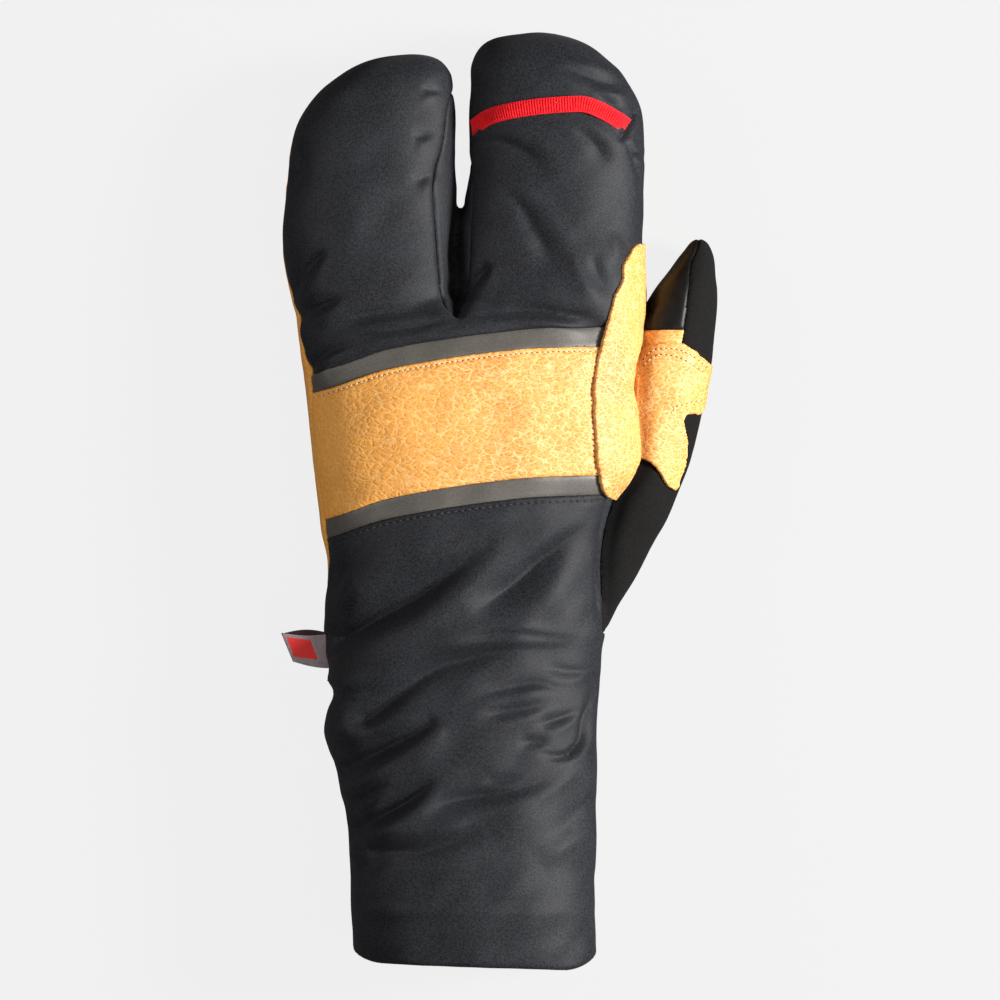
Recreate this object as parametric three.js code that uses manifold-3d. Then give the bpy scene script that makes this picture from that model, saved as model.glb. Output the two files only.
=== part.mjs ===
// A left-hand lobster claw mitt for winter riding, lying palm down with its stalls towards +Y and its
// thumb towards +X. Two stalls hold two fingers each. The back is padded black softshell, crossed over the
// knuckles by a tan leather band between two strips of grey tape. The palm is tan leather that folds up over
// the edge of the hand, and a long gauntlet covers the wrist. All sizes are millimetres. The origin is the
// middle of the mitt's outline, on the table.
import * as THREE from "three";
import { mergeVertices } from "three/addons/utils/BufferGeometryUtils.js";
import Module from "manifold-3d";

const wasm = await Module();
wasm.setup();

// Lengths along the hand
const gauntletLength = 159.1; // from the rim to the start of the knuckle band, at its thumb side
const palmLength = 63.9; // from there to the bottom of the slot between the stalls
const indexStallLength = 95.2;
const outerStallLength = 88.2;
const slotWidth = 2.7;

// Widths and thicknesses of the filled mitt
const cuffWidth = 83.3;
const cuffThickness = 58;
const cuffOffset = 4.1; // how far the cuff's middle lies towards the thumb from the hand's middle
const handWidth = 122.8;
const handThickness = 56;
const stallThickness = 42;

// Thumb
const thumbLength = 135;
const thumbDrop = 47.6; // from the start of the palm down to where the thumb leaves the gauntlet
const creaseStart = 2.7; // from there to the lower end of its seam
const creaseInset = 0.9; // how far in from the side of the hand its seam runs
const thumbReach = 25.5; // how far it stands out past the hand
const thumbThickness = 34;
const thumbWebStart = 0.45; // share of its length where the leather of its inner side starts
const thumbPadStart = 0.781; // and where that leather gives way to the glossy pad

// Walls, leather and trim
const backWall = 4.2; // softshell, padding and lining
const thumbWall = 3.2;
const leatherThickness = 1.5; // raw-edged leather sewn over the shell
const stripWidth = 6.6;
const bandWidth = 44;
const bandStart = 1.4; // from the start of the palm to the lowest seam of the band
const seamDrop = 16.5; // how much lower the band's seams run at the little finger side
const wrapLength = 86.4;
const wrapWidth = 17;
const wrapStart = 0.3; // from the start of the palm to the wrap's lower end
const wrapLow = 15.5; // height above the table of the wrap's hidden edge
const patchLength = 50;
const patchWidth = 24.5;
const patchStart = 4; // from the start of the palm to the patch's lower end
const patchInset = 2; // from the thumb's outermost side to the patch's edge
const patchLow = 21; // height above the table of the patch's hidden edge
const ribbonWidth = 5.5;
const ribbonThickness = 1;
const labelWidth = 10.4;
const labelThickness = 1;
const labelFold = 3.2; // outside thickness of the folded label
const labelStart = 103; // from the rim to the label's lower edge
const labelLean = 2.6; // how far the fold leans back over the label's width
const rimCorner = 7.5; // how far the rim rises at the two sides of the cuff
const rimSlant = 1.5; // how far it rises towards the little finger side
const seamGap = 0.3; // between one sewn panel and the next

// How the sections are drawn
const widestShare = 0.52; // height of the widest level as a share of the thickness
const crownRound = 2.25; // exponent of the upper half of a section, where 2 is an ellipse
const soleRound = 3.2; // the same for the underside
const soleSpread = 1.07; // the underside is drawn this much too deep and then flattened by the table
const cornerShare = 0.76; // share of the cuff's half width where its corners start to rise
const rowStep = 7.2; // between sections of the outside of the gauntlet and hand
const insideRows = 18;
const shellStyle = { crown: 16, sole: 8, folds: true, rim: true };
const skinStyle = { crown: 16, sole: 8, folds: true };
const stallStyle = { crown: 14, sole: 6, folds: true };
const thumbStyle = { crown: 12, sole: 6 };
const insideStyle = { crown: 12, sole: 6, folds: true };
const insideStallStyle = { crown: 10, sole: 6, folds: true };
const insideThumbStyle = { crown: 10, sole: 6 };

// Places that follow from the sizes
const mittLength = gauntletLength + palmLength + indexStallLength;
const rimY = -mittLength / 2;
const palmY = rimY + gauntletLength;
const slotY = palmY + palmLength;
const handLeft = -(handWidth + thumbReach) / 2;
const handRight = handLeft + handWidth;
const handX = (handLeft + handRight) / 2;
const cuffX = handX + cuffOffset;
const stallWidth = (handWidth - slotWidth) / 2;
const stallSize = { width: stallWidth, thickness: stallThickness };
const thumbY = palmY - thumbDrop;
const webY = thumbY + thumbWebStart * thumbLength;
const padY = thumbY + thumbPadStart * thumbLength;
const farAway = 400;

// Each zone gives the sizes that its rows are shares of. In the gauntlet and the hand, across runs from -1
// to 1 between the sides. In a stall it runs from 0 to 1, and in the thumb it starts at the hand's side.
const zones = {
  gauntlet: { y: rimY, length: gauntletLength, x: cuffX, width: cuffWidth / 2, thickness: cuffThickness },
  hand: { y: palmY, length: palmLength, x: handX, width: handWidth / 2, thickness: handThickness },
  outerStall: { y: slotY, length: outerStallLength, x: handLeft, ...stallSize },
  indexStall: { y: slotY, length: indexStallLength, x: handRight - stallWidth, ...stallSize },
  thumb: { y: thumbY, length: thumbLength, x: handRight, width: thumbReach, thickness: thumbThickness },
};

const gauntletRows = [
  { along: 0, left: -0.98, right: 1, low: 0, high: 0.95 },
  { along: 0.06, left: -0.99, right: 0.99, low: 0, high: 0.98 },
  { along: 0.145, left: -1.01, right: 0.985, low: 0, high: 1 },
  { along: 0.25, left: -1.025, right: 0.985, low: 0, high: 1 },
  { along: 0.34, left: -1.057, right: 0.99, low: 0, high: 0.99 },
  { along: 0.42, left: -1.13, right: 1, low: 0, high: 0.98 },
  { along: 0.475, left: -1.195, right: 1, low: 0, high: 0.98 },
  { along: 0.513, left: -1.237, right: 1, low: 0, high: 0.98 },
  { along: 0.55, left: -1.212, right: 1.008, low: 0, high: 0.97 },
  { along: 0.595, left: -1.165, right: 1.016, low: 0, high: 0.96 },
  { along: 0.64, left: -1.2, right: 1.024, low: 0, high: 0.95 },
  { along: 0.7, left: -1.245, right: 1.055, low: 0, high: 0.95 },
  { along: 0.765, left: -1.22, right: 1.073, low: 0, high: 0.95 },
  { along: 0.83, left: -1.2, right: 1.06, low: 0, high: 0.95 },
  { along: 0.9, left: -1.225, right: 1.065, low: 0, high: 0.95 },
  { along: 0.957, left: -1.257, right: 1.106, low: 0, high: 0.96 },
];
const handRows = [
  { along: 0, left: -0.801, right: 0.856, low: 0, high: 0.99 },
  { along: 0.1, left: -0.814, right: 0.935, low: 0, high: 1 },
  { along: 0.21, left: -0.828, right: 0.985, low: 0, high: 1 },
  { along: 0.37, left: -0.845, right: 0.983, low: 0, high: 1 },
  { along: 0.53, left: -0.861, right: 0.972, low: 0, high: 0.99 },
  { along: 0.69, left: -0.878, right: 0.975, low: 0, high: 0.97 },
  { along: 0.85, left: -0.903, right: 0.988, low: 0, high: 0.935 },
  { along: 1, left: -0.93, right: 0.98, low: 0, high: 0.86 },
  { along: 1.06, left: -0.92, right: 0.95, low: 0.01, high: 0.72 },
  { along: 1.14, left: -0.86, right: 0.88, low: 0.03, high: 0.58 },
  { along: 1.28, left: -0.7, right: 0.7, low: 0.07, high: 0.5 },
  { along: 1.47, left: -0.4, right: 0.4, low: 0.14, high: 0.4 },
];
const outerStallRows = [
  { along: -0.11, left: 0.16, right: 0.98, low: 0.02, high: 1.1 },
  { along: 0, left: 0.071, right: 1.037, low: 0, high: 1.13 },
  { along: 0.085, left: 0.04, right: 1.025, low: 0, high: 1.11 },
  { along: 0.162, left: 0.017, right: 1.014, low: 0, high: 1.09 },
  { along: 0.239, left: 0.003, right: 1.008, low: 0, high: 1.07 },
  { along: 0.35, left: 0, right: 1, low: 0, high: 1.04 },
  { along: 0.47, left: 0.017, right: 0.997, low: 0, high: 1.02 },
  { along: 0.547, left: 0.028, right: 1, low: 0, high: 1 },
  { along: 0.624, left: 0.045, right: 1.003, low: 0, high: 0.99 },
  { along: 0.7, left: 0.074, right: 1.006, low: 0, high: 0.97 },
  { along: 0.778, left: 0.125, right: 1.004, low: 0.01, high: 0.94 },
  { along: 0.855, left: 0.21, right: 0.992, low: 0.03, high: 0.9 },
  { along: 0.913, left: 0.312, right: 0.969, low: 0.07, high: 0.84 },
  { along: 0.952, left: 0.408, right: 0.935, low: 0.12, high: 0.77 },
  { along: 0.979, left: 0.516, right: 0.89, low: 0.19, high: 0.69 },
  { along: 0.994, left: 0.612, right: 0.827, low: 0.27, high: 0.6 },
  { along: 1, left: 0.69, right: 0.75, low: 0.36, high: 0.5 },
];
const indexStallRows = [
  { along: -0.1, left: 0, right: 0.93, low: 0.02, high: 1.1 },
  { along: 0, left: -0.096, right: 1, low: 0, high: 1.13 },
  { along: 0.079, left: -0.1, right: 1, low: 0, high: 1.11 },
  { along: 0.15, left: -0.096, right: 1, low: 0, high: 1.09 },
  { along: 0.221, left: -0.079, right: 1, low: 0, high: 1.07 },
  { along: 0.293, left: -0.056, right: 0.998, low: 0, high: 1.05 },
  { along: 0.364, left: -0.028, right: 1, low: 0, high: 1.03 },
  { along: 0.436, left: -0.008, right: 1.003, low: 0, high: 1.02 },
  { along: 0.507, left: 0, right: 1.008, low: 0, high: 1.01 },
  { along: 0.579, left: 0, right: 1.01, low: 0, high: 1 },
  { along: 0.65, left: 0.002, right: 1.005, low: 0, high: 0.98 },
  { along: 0.721, left: 0.005, right: 0.988, low: 0, high: 0.96 },
  { along: 0.793, left: 0.009, right: 0.944, low: 0.01, high: 0.93 },
  { along: 0.864, left: 0.02, right: 0.876, low: 0.03, high: 0.89 },
  { along: 0.918, left: 0.048, right: 0.782, low: 0.07, high: 0.83 },
  { along: 0.954, left: 0.09, right: 0.703, low: 0.12, high: 0.76 },
  { along: 0.979, left: 0.155, right: 0.61, low: 0.19, high: 0.68 },
  { along: 0.993, left: 0.243, right: 0.508, low: 0.27, high: 0.6 },
  { along: 1, left: 0.35, right: 0.42, low: 0.36, high: 0.5 },
];
const thumbRows = [
  { along: 0, left: -0.98, right: -0.6, low: 0.06, high: 0.6 },
  { along: 0.038, left: -1.15, right: -0.453, low: 0.02, high: 0.78 },
  { along: 0.088, left: -1.25, right: -0.32, low: 0, high: 0.88 },
  { along: 0.151, left: -1.25, right: -0.12, low: 0, high: 0.94 },
  { along: 0.227, left: -1.15, right: 0.107, low: 0, high: 0.98 },
  { along: 0.302, left: -1.05, right: 0.32, low: 0, high: 1 },
  { along: 0.378, left: -0.97, right: 0.493, low: 0, high: 1 },
  { along: 0.453, left: -0.9, right: 0.64, low: 0, high: 1 },
  { along: 0.529, left: -0.82, right: 0.747, low: 0, high: 1 },
  { along: 0.605, left: -0.7, right: 0.84, low: 0, high: 0.99 },
  { along: 0.68, left: -0.53, right: 0.913, low: 0, high: 0.97 },
  { along: 0.743, left: -0.33, right: 0.96, low: 0, high: 0.95 },
  { along: 0.793, left: -0.15, right: 0.98, low: 0, high: 0.93 },
  { along: 0.831, left: -0.02, right: 0.993, low: 0, high: 0.91 },
  { along: 0.882, left: 0.16, right: 1, low: 0.01, high: 0.87 },
  { along: 0.932, left: 0.347, right: 0.987, low: 0.04, high: 0.8 },
  { along: 0.965, left: 0.467, right: 0.964, low: 0.09, high: 0.73 },
  { along: 0.985, left: 0.573, right: 0.92, low: 0.16, high: 0.66 },
  { along: 0.995, left: 0.64, right: 0.867, low: 0.24, high: 0.59 },
  { along: 1, left: 0.72, right: 0.79, low: 0.34, high: 0.49 },
];

// Main folds, seen from above. Each is a curved stroke between two places past a middle one, all given as
// [along, across], with its half breadth and its depth, which is below 0 for a ridge.
const gauntletFolds = [
  { from: [0.93, 0.23], mid: [0.81, -0.3], to: [0.7, -1.15], breadth: 0.1, depth: 0.06 },
  { from: [0.9, 0.45], mid: [0.78, 0], to: [0.6, -0.75], breadth: 0.07, depth: -0.03 },
  { from: [0.71, 0.75], mid: [0.7, 0.1], to: [0.56, -0.85], breadth: 0.05, depth: 0.032 },
  { from: [0.53, -0.34], mid: [0.48, -0.7], to: [0.41, -1.1], breadth: 0.08, depth: 0.055 },
  { from: [0.57, 0.97], mid: [0.49, 0.92], to: [0.455, 0.42], breadth: 0.05, depth: 0.06 },
  { from: [0.4, -0.36], mid: [0.34, -0.65], to: [0.27, -1], breadth: 0.09, depth: 0.06 },
  { from: [0.44, 0.95], mid: [0.37, 0.6], to: [0.25, 0.15], breadth: 0.06, depth: -0.025 },
  { from: [0.31, 0.07], mid: [0.25, -0.4], to: [0.25, -0.8], breadth: 0.06, depth: 0.03 },
  { from: [0.13, 0.98], mid: [0.135, 0], to: [0.13, -1], breadth: 0.07, depth: -0.018 },
];
const stallFolds = [
  { from: [1.42, 0.1], mid: [1.36, 0.32], to: [1.1, 0.5], breadth: 0.11, depth: 0.035 },
  { from: [0.98, -0.05], mid: [0.99, -0.45], to: [0.93, -0.8], breadth: 0.09, depth: 0.028 },
  { from: [0.98, 0.05], mid: [1.02, 0.4], to: [0.97, 0.75], breadth: 0.09, depth: 0.025 },
];

// Heights of the seam where the palm leather meets the back at either side, as shares of the thickness
const seamRows = [
  { along: -0.47, left: 0.5, right: 0.4 },
  { along: -0.4, left: 0.52, right: 0.4 },
  { along: -0.25, left: 0.64, right: 0.4 },
  { along: -0.1, left: 0.68, right: 0.4 },
  { along: 0.27, left: 0.62, right: 0.4 },
  { along: 0.58, left: 0.68, right: 0.4 },
  { along: 0.8, left: 0.64, right: 0.4 },
  { along: 1.06, left: 0.55, right: 0.4 },
  { along: 1.22, left: 0.48, right: 0.4 },
  { along: 1.6, left: 0.42, right: 0.4 },
  { along: 2.6, left: 0.42, right: 0.4 },
];

// The curve that the band's seams share: how far it has dropped towards the little finger side
const bandRows = [
  { across: -1.6, drop: 1.3 },
  { across: -0.83, drop: 0.95 },
  { across: -0.4, drop: 0.46 },
  { across: 0.1, drop: 0.15 },
  { across: 0.43, drop: 0.03 },
  { across: 0.8, drop: 0 },
  { across: 1.6, drop: 0 },
];

// Outlines seen from above. Along runs up the piece, and inward runs from its thumb side to its other side.
const wrapOutline = [
  { along: 0, inward: 0.56 },
  { along: 0.02, inward: 0.44 },
  { along: 0.075, inward: 0.3 },
  { along: 0.135, inward: 0.16 },
  { along: 0.185, inward: -0.05 },
  { along: 0.25, inward: -0.3 },
  { along: 0.9, inward: -0.3 },
  { along: 0.96, inward: -0.1 },
  { along: 1, inward: 0.08 },
  { along: 0.985, inward: 0.26 },
  { along: 0.9, inward: 0.38 },
  { along: 0.82, inward: 0.5 },
  { along: 0.74, inward: 0.6 },
  { along: 0.66, inward: 0.72 },
  { along: 0.59, inward: 0.78 },
  { along: 0.51, inward: 0.9 },
  { along: 0.43, inward: 1 },
  { along: 0.35, inward: 1 },
  { along: 0.19, inward: 0.96 },
  { along: 0.11, inward: 0.92 },
  { along: 0.04, inward: 0.82 },
  { along: 0.01, inward: 0.7 },
];
const patchOutline = [
  { along: 0.24, inward: 1.02 },
  { along: 0.215, inward: 0.92 },
  { along: 0.15, inward: 0.79 },
  { along: 0.05, inward: 0.67 },
  { along: 0, inward: 0.57 },
  { along: 0.03, inward: 0.5 },
  { along: 0.14, inward: 0.43 },
  { along: 0.31, inward: 0.36 },
  { along: 0.4, inward: 0.38 },
  { along: 0.46, inward: 0.4 },
  { along: 0.515, inward: 0.35 },
  { along: 0.51, inward: 0.24 },
  { along: 0.52, inward: 0.15 },
  { along: 0.6, inward: 0.08 },
  { along: 0.7, inward: 0.01 },
  { along: 0.79, inward: 0 },
  { along: 0.86, inward: 0.08 },
  { along: 0.9, inward: 0.24 },
  { along: 0.955, inward: 0.39 },
  { along: 1, inward: 0.56 },
  { along: 0.99, inward: 0.7 },
  { along: 0.96, inward: 0.86 },
  { along: 0.92, inward: 1.02 },
];
// Middle line of the ribbon across the index stall, in shares of that stall
const ribbonRows = [
  { along: 0.65, across: 0.035 },
  { along: 0.682, across: 0.085 },
  { along: 0.7, across: 0.16 },
  { along: 0.7125, across: 0.25 },
  { along: 0.727, across: 0.41 },
  { along: 0.736, across: 0.55 },
  { along: 0.736, across: 0.66 },
  { along: 0.718, across: 0.75 },
  { along: 0.693, across: 0.83 },
  { along: 0.659, across: 0.915 },
];
// Sides of the gusset between the stalls, in shares of the half hand across and of the shorter stall along
const gussetRows = [
  { along: -0.012, left: -0.045, right: -0.035 },
  { along: 0.04, left: -0.1, right: 0.005 },
  { along: 0.13, left: -0.12, right: 0.03 },
  { along: 0.3, left: -0.14, right: 0.04 },
  { along: 0.5, left: -0.155, right: 0.05 },
  { along: 0.65, left: -0.1, right: 0.055 },
  { along: 0.82, left: -0.065, right: 0.055 },
  { along: 0.9, left: -0.06, right: 0.055 },
];
// Where the thumb's matte back meets its inner side, as a share of the thumb's width from its inner edge
const thumbSeamRows = [
  { along: 0, share: 0.45 },
  { along: 0.35, share: 0.52 },
  { along: 0.55, share: 0.58 },
  { along: 0.74, share: 0.65 },
  { along: 0.83, share: 0.59 },
  { along: 0.9, share: 0.5 },
  { along: 0.955, share: 0.4 },
  { along: 1, share: 0.45 },
];

// A column of a table at a place between its rows, on a curve that never overshoots a row
function columnAt(rows, place, column, at) {
  const last = rows.length - 1;
  if (at <= rows[0][place]) return rows[0][column];
  if (at >= rows[last][place]) return rows[last][column];
  const slope = (i) => (rows[i + 1][column] - rows[i][column]) / (rows[i + 1][place] - rows[i][place]);
  const tangent = (i) => {
    if (i === 0 || i === last) return slope(Math.min(i, last - 1));
    const before = slope(i - 1);
    const after = slope(i);
    return before * after <= 0 ? 0 : (2 * before * after) / (before + after);
  };
  const i = rows.findIndex((row, k) => k < last && at <= rows[k + 1][place]);
  const span = rows[i + 1][place] - rows[i][place];
  const t = (at - rows[i][place]) / span;
  const rise = t * t * (3 - 2 * t);
  const leave = t * (1 - t) * (1 - t) * span * tangent(i);
  const arrive = t * t * (t - 1) * span * tangent(i + 1);
  return rows[i][column] * (1 - rise) + rows[i + 1][column] * rise + leave + arrive;
}

function sectionOf(zone, row) {
  return {
    y: zone.y + row.along * zone.length,
    left: zone.x + row.left * zone.width,
    right: zone.x + row.right * zone.width,
    low: row.low * zone.thickness,
    high: row.high * zone.thickness,
  };
}

const bodySections = [
  ...gauntletRows.map((row) => sectionOf(zones.gauntlet, row)),
  ...handRows.map((row) => sectionOf(zones.hand, row)),
];
const outerStallSections = outerStallRows.map((row) => sectionOf(zones.outerStall, row));
const indexStallSections = indexStallRows.map((row) => sectionOf(zones.indexStall, row));
const thumbSections = thumbRows.map((row) => sectionOf(zones.thumb, row));

function sectionAt(sections, y) {
  const section = { y };
  for (const column of ["left", "right", "low", "high"]) {
    section[column] = columnAt(sections, "y", column, y);
  }
  return section;
}

// The folds as strokes in millimetres, and how deep the cloth lies at a point seen from above
function strokeOf(zone, fold) {
  const place = ([along, across]) => {
    return new THREE.Vector2(zone.x + across * zone.width, zone.y + along * zone.length);
  };
  return {
    points: new THREE.SplineCurve([place(fold.from), place(fold.mid), place(fold.to)]).getPoints(12),
    breadth: fold.breadth * zone.width,
    depth: fold.depth * zone.thickness,
  };
}
const strokes = [
  ...gauntletFolds.map((fold) => strokeOf(zones.gauntlet, fold)),
  ...stallFolds.map((fold) => strokeOf(zones.hand, fold)),
];
function foldDepth(x, y) {
  let total = 0;
  for (const { points, breadth, depth } of strokes) {
    let nearest = Infinity;
    let share = 0;
    points.forEach((point, i) => {
      const distance = Math.hypot(point.x - x, point.y - y);
      if (distance < nearest) {
        nearest = distance;
        share = i / (points.length - 1);
      }
    });
    const fade = Math.min(1, 4 * Math.min(share + 0.05, 1.05 - share));
    total += depth * fade * Math.exp(-((nearest / breadth) ** 2));
  }
  return total;
}

// How far the rim's corners and slant lift a point, which dies out within a few corners' height
function rimRise(across, y) {
  const corner = Math.min(1, Math.max(0, Math.abs(across) - cornerShare) / (1 - cornerShare));
  const near = Math.max(0, 1 - (y - rimY) / (4 * rimCorner));
  const slant = (rimSlant * Math.max(0, cornerShare - across)) / (1 + cornerShare);
  return (rimCorner * (1 - Math.sqrt(1 - corner * corner)) + slant) * near * near;
}

// One ring of points round a section, grown outwards or shrunk inwards, from the +X side over the crown
function ringOf(section, grow, style) {
  const x = (section.left + section.right) / 2;
  const smallest = 0.4;
  const half = Math.max((section.right - section.left) / 2 + grow, smallest);
  const widest = section.low + widestShare * (section.high - section.low);
  const up = Math.max(section.high - widest + grow, smallest);
  const down = Math.max(widest - section.low + grow, smallest);
  const ring = [];
  for (let i = 0; i < style.crown + style.sole; i++) {
    const over = i < style.crown;
    const angle = over ? (Math.PI * i) / style.crown : Math.PI * (1 + (i - style.crown) / style.sole);
    const c = Math.cos(angle);
    const s = Math.sin(angle);
    const power = 2 / (over ? crownRound : soleRound);
    const across = Math.sign(c) * Math.abs(c) ** power;
    const height = Math.abs(s) ** power;
    const point = new THREE.Vector3(x + half * across, section.y, 0);
    point.z = over ? widest + up * height : widest - Math.min(down, down * soleSpread * height);
    if (over && style.folds) {
      const push = -foldDepth(point.x, point.y) * Math.min(1, 2.5 * s);
      const away = new THREE.Vector2(point.x - x, (point.z - widest) * (half / up)).normalize();
      point.x += push * away.x;
      point.z += push * away.y;
    }
    if (style.rim) point.y += rimRise(across, section.y);
    ring.push(point);
  }
  return ring;
}

// A closed solid through rings that have as many points each
function solidThrough(rings) {
  const sides = rings[0].length;
  const positions = [];
  const faces = [];
  rings.forEach((ring) => ring.forEach((point) => positions.push(point.x, point.y, point.z)));
  for (let r = 0; r + 1 < rings.length; r++) {
    for (let i = 0; i < sides; i++) {
      const a = r * sides + i;
      const b = r * sides + ((i + 1) % sides);
      faces.push(a, a + sides, b, b, a + sides, b + sides);
    }
  }
  for (const [ring, first] of [[rings[0], 0], [rings.at(-1), (rings.length - 1) * sides]]) {
    const middle = ring.reduce((sum, point) => sum.add(point), new THREE.Vector3()).divideScalar(sides);
    const centre = positions.length / 3;
    positions.push(middle.x, middle.y, middle.z);
    for (let i = 0; i < sides; i++) {
      const a = first + i;
      const b = first + ((i + 1) % sides);
      if (first === 0) faces.push(centre, a, b);
      else faces.push(centre, b, a);
    }
  }
  const geometry = new THREE.BufferGeometry();
  geometry.setAttribute("position", new THREE.Float32BufferAttribute(positions, 3));
  geometry.setIndex(faces);
  return solidOf(geometry);
}

function solidOf(geometry) {
  const bare = geometry.clone();
  bare.deleteAttribute("normal");
  bare.deleteAttribute("uv");
  const merged = mergeVertices(bare, 1e-4);
  const solid = new wasm.Manifold(
    new wasm.Mesh({
      numProp: 3,
      vertProperties: new Float32Array(merged.attributes.position.array),
      triVerts: new Uint32Array(merged.index.array),
    }),
  );
  return solid.volume() < 0 ? turned(merged) : solid;
}

// The same faces the other way out
function turned(geometry) {
  const faces = new Uint32Array(geometry.index.array);
  for (let i = 0; i < faces.length; i += 3) [faces[i + 1], faces[i + 2]] = [faces[i + 2], faces[i + 1]];
  return new wasm.Manifold(
    new wasm.Mesh({
      numProp: 3,
      vertProperties: new Float32Array(geometry.attributes.position.array),
      triVerts: faces,
    }),
  );
}

function joined(solids) {
  return solids.reduce((sum, solid) => sum.add(solid));
}

function spread(from, to, count) {
  return Array.from({ length: count + 1 }, (_, i) => from + ((to - from) * i) / count);
}

// The gauntlet and hand, grown by a thickness
function bodySolid(grow, style) {
  const lastY = bodySections.at(-1).y;
  const ys = spread(rimY, lastY, Math.ceil((lastY - rimY) / rowStep));
  return solidThrough(ys.map((y) => ringOf(sectionAt(bodySections, y), grow, style)));
}

// A stall or the thumb, whose tip moves too
function fingerSolid(sections, grow, style) {
  const first = sections[0].y;
  const length = sections.at(-1).y - first;
  const rings = sections.map((section) => {
    const y = first + ((section.y - first) * (length + grow)) / length;
    return ringOf({ ...section, y }, grow, style);
  });
  return solidThrough(rings);
}

function handSolid(grow, style) {
  return joined([
    bodySolid(grow, style),
    fingerSolid(outerStallSections, grow, stallStyle),
    fingerSolid(indexStallSections, grow, stallStyle),
  ]);
}

// The space inside, which runs out past the rim
function hollow() {
  const rim = ringOf(sectionAt(bodySections, rimY), -backWall, insideStyle);
  const outside = rim.map((point) => new THREE.Vector3(point.x, rimY - 2 * rimCorner, point.z));
  const inside = spread(rimY, slotY - backWall, insideRows).map((y) => sectionAt(bodySections, y));
  const body = solidThrough([outside, ...inside.map((section) => ringOf(section, -backWall, insideStyle))]);
  const everyOther = (sections, first) => sections.filter((_, i) => i % 2 === first);
  return joined([
    body,
    fingerSolid(everyOther(outerStallSections, 0), -backWall, insideStallStyle),
    fingerSolid(everyOther(indexStallSections, 0), -backWall, insideStallStyle),
    fingerSolid(everyOther(thumbSections, 1), -thumbWall, insideThumbStyle),
  ]);
}

// An upright prism over an outline seen from above
function prism(points, low = -farAway, high = farAway) {
  const shape = new THREE.Shape(points.map(([x, y]) => new THREE.Vector2(x, y)));
  const geometry = new THREE.ExtrudeGeometry(shape, { depth: high - low, bevelEnabled: false });
  return solidOf(geometry.translate(0, 0, low));
}

// Everything between two of the band's seams, counted from the lowest one
function seamAt(x) {
  return palmY + bandStart - seamDrop * columnAt(bandRows, "across", "drop", (x - handX) / (handWidth / 2));
}
function betweenSeams(from, to) {
  const xs = spread(handX - handWidth, handX + handWidth, 24);
  const lower = xs.map((x) => [x, Number.isFinite(from) ? seamAt(x) + from : -farAway]);
  const upper = xs.map((x) => [x, Number.isFinite(to) ? seamAt(x) + to : farAway]);
  return prism([...lower, ...upper.reverse()]);
}

// Everything under the seam round the palm, from the heel of the hand on
function underSeam(shift) {
  const rings = seamRows.map((row, i) => {
    const y = palmY + row.along * palmLength - (i === 0 ? shift : 0);
    const past = Math.max(0, y - slotY) / palmLength;
    const hand = sectionAt(bodySections, Math.min(y, slotY)).high;
    const thickness = THREE.MathUtils.lerp(hand, stallThickness, Math.min(1, past));
    const left = row.left * thickness + shift;
    const right = row.right * thickness + shift;
    return [
      new THREE.Vector3(-farAway, y, -farAway),
      new THREE.Vector3(farAway, y, -farAway),
      new THREE.Vector3(farAway, y, right),
      new THREE.Vector3(handRight, y, right),
      new THREE.Vector3(handLeft, y, left),
      new THREE.Vector3(-farAway, y, left),
    ];
  });
  return solidThrough(rings);
}

// The crease where the thumb leaves the hand, seen from above
function creaseX(y) {
  const hand = y > slotY ? sectionAt(indexStallSections, y).right : sectionAt(bodySections, y).right;
  const thumb = sectionAt(thumbSections, y).left;
  return thumb > hand ? (thumb + hand) / 2 : hand - creaseInset;
}
function thumbZone(shift) {
  const ys = spread(thumbY + creaseStart, thumbY + 1.3 * thumbLength, 26);
  const crease = ys.map((y) => [creaseX(y) + shift, y + (y === ys[0] ? shift : 0)]);
  return prism([...crease, [farAway, ys.at(-1)], [farAway, ys[0] + shift]]);
}

// The thumb's inner side, between its seam and the hand
function innerThumbZone(shift) {
  const ys = spread(webY, thumbY + 1.1 * thumbLength, 16);
  const seam = ys.map((y) => {
    const section = sectionAt(thumbSections, y);
    const share = columnAt(thumbSeamRows, "along", "share", (y - thumbY) / thumbLength);
    return [section.left + share * (section.right - section.left) + shift, y - (y === webY ? shift : 0)];
  });
  return prism([...seam, [-farAway, ys.at(-1)], [-farAway, webY - shift]]);
}

// Everything between two heights along the mitt
function slab(from, to) {
  return prism([[-farAway, from], [farAway, from], [farAway, to], [-farAway, to]]);
}

function gussetZone(grow) {
  const place = (row, side) => [handX + (row[side] * handWidth) / 2, slotY + row.along * outerStallLength];
  const left = gussetRows.map((row) => place(row, "left")).map(([x, y]) => [x - grow, y]);
  const right = gussetRows.map((row) => place(row, "right")).map(([x, y]) => [x + grow, y]);
  left[0][1] -= grow;
  right[0][1] -= grow;
  left.at(-1)[1] += grow;
  right.at(-1)[1] += grow;
  return prism([...right, ...left.reverse()]);
}

function outlineZone(rows, x, y, width, length, low) {
  return prism(rows.map((row) => [x - row.inward * width, y + row.along * length]), low);
}

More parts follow.
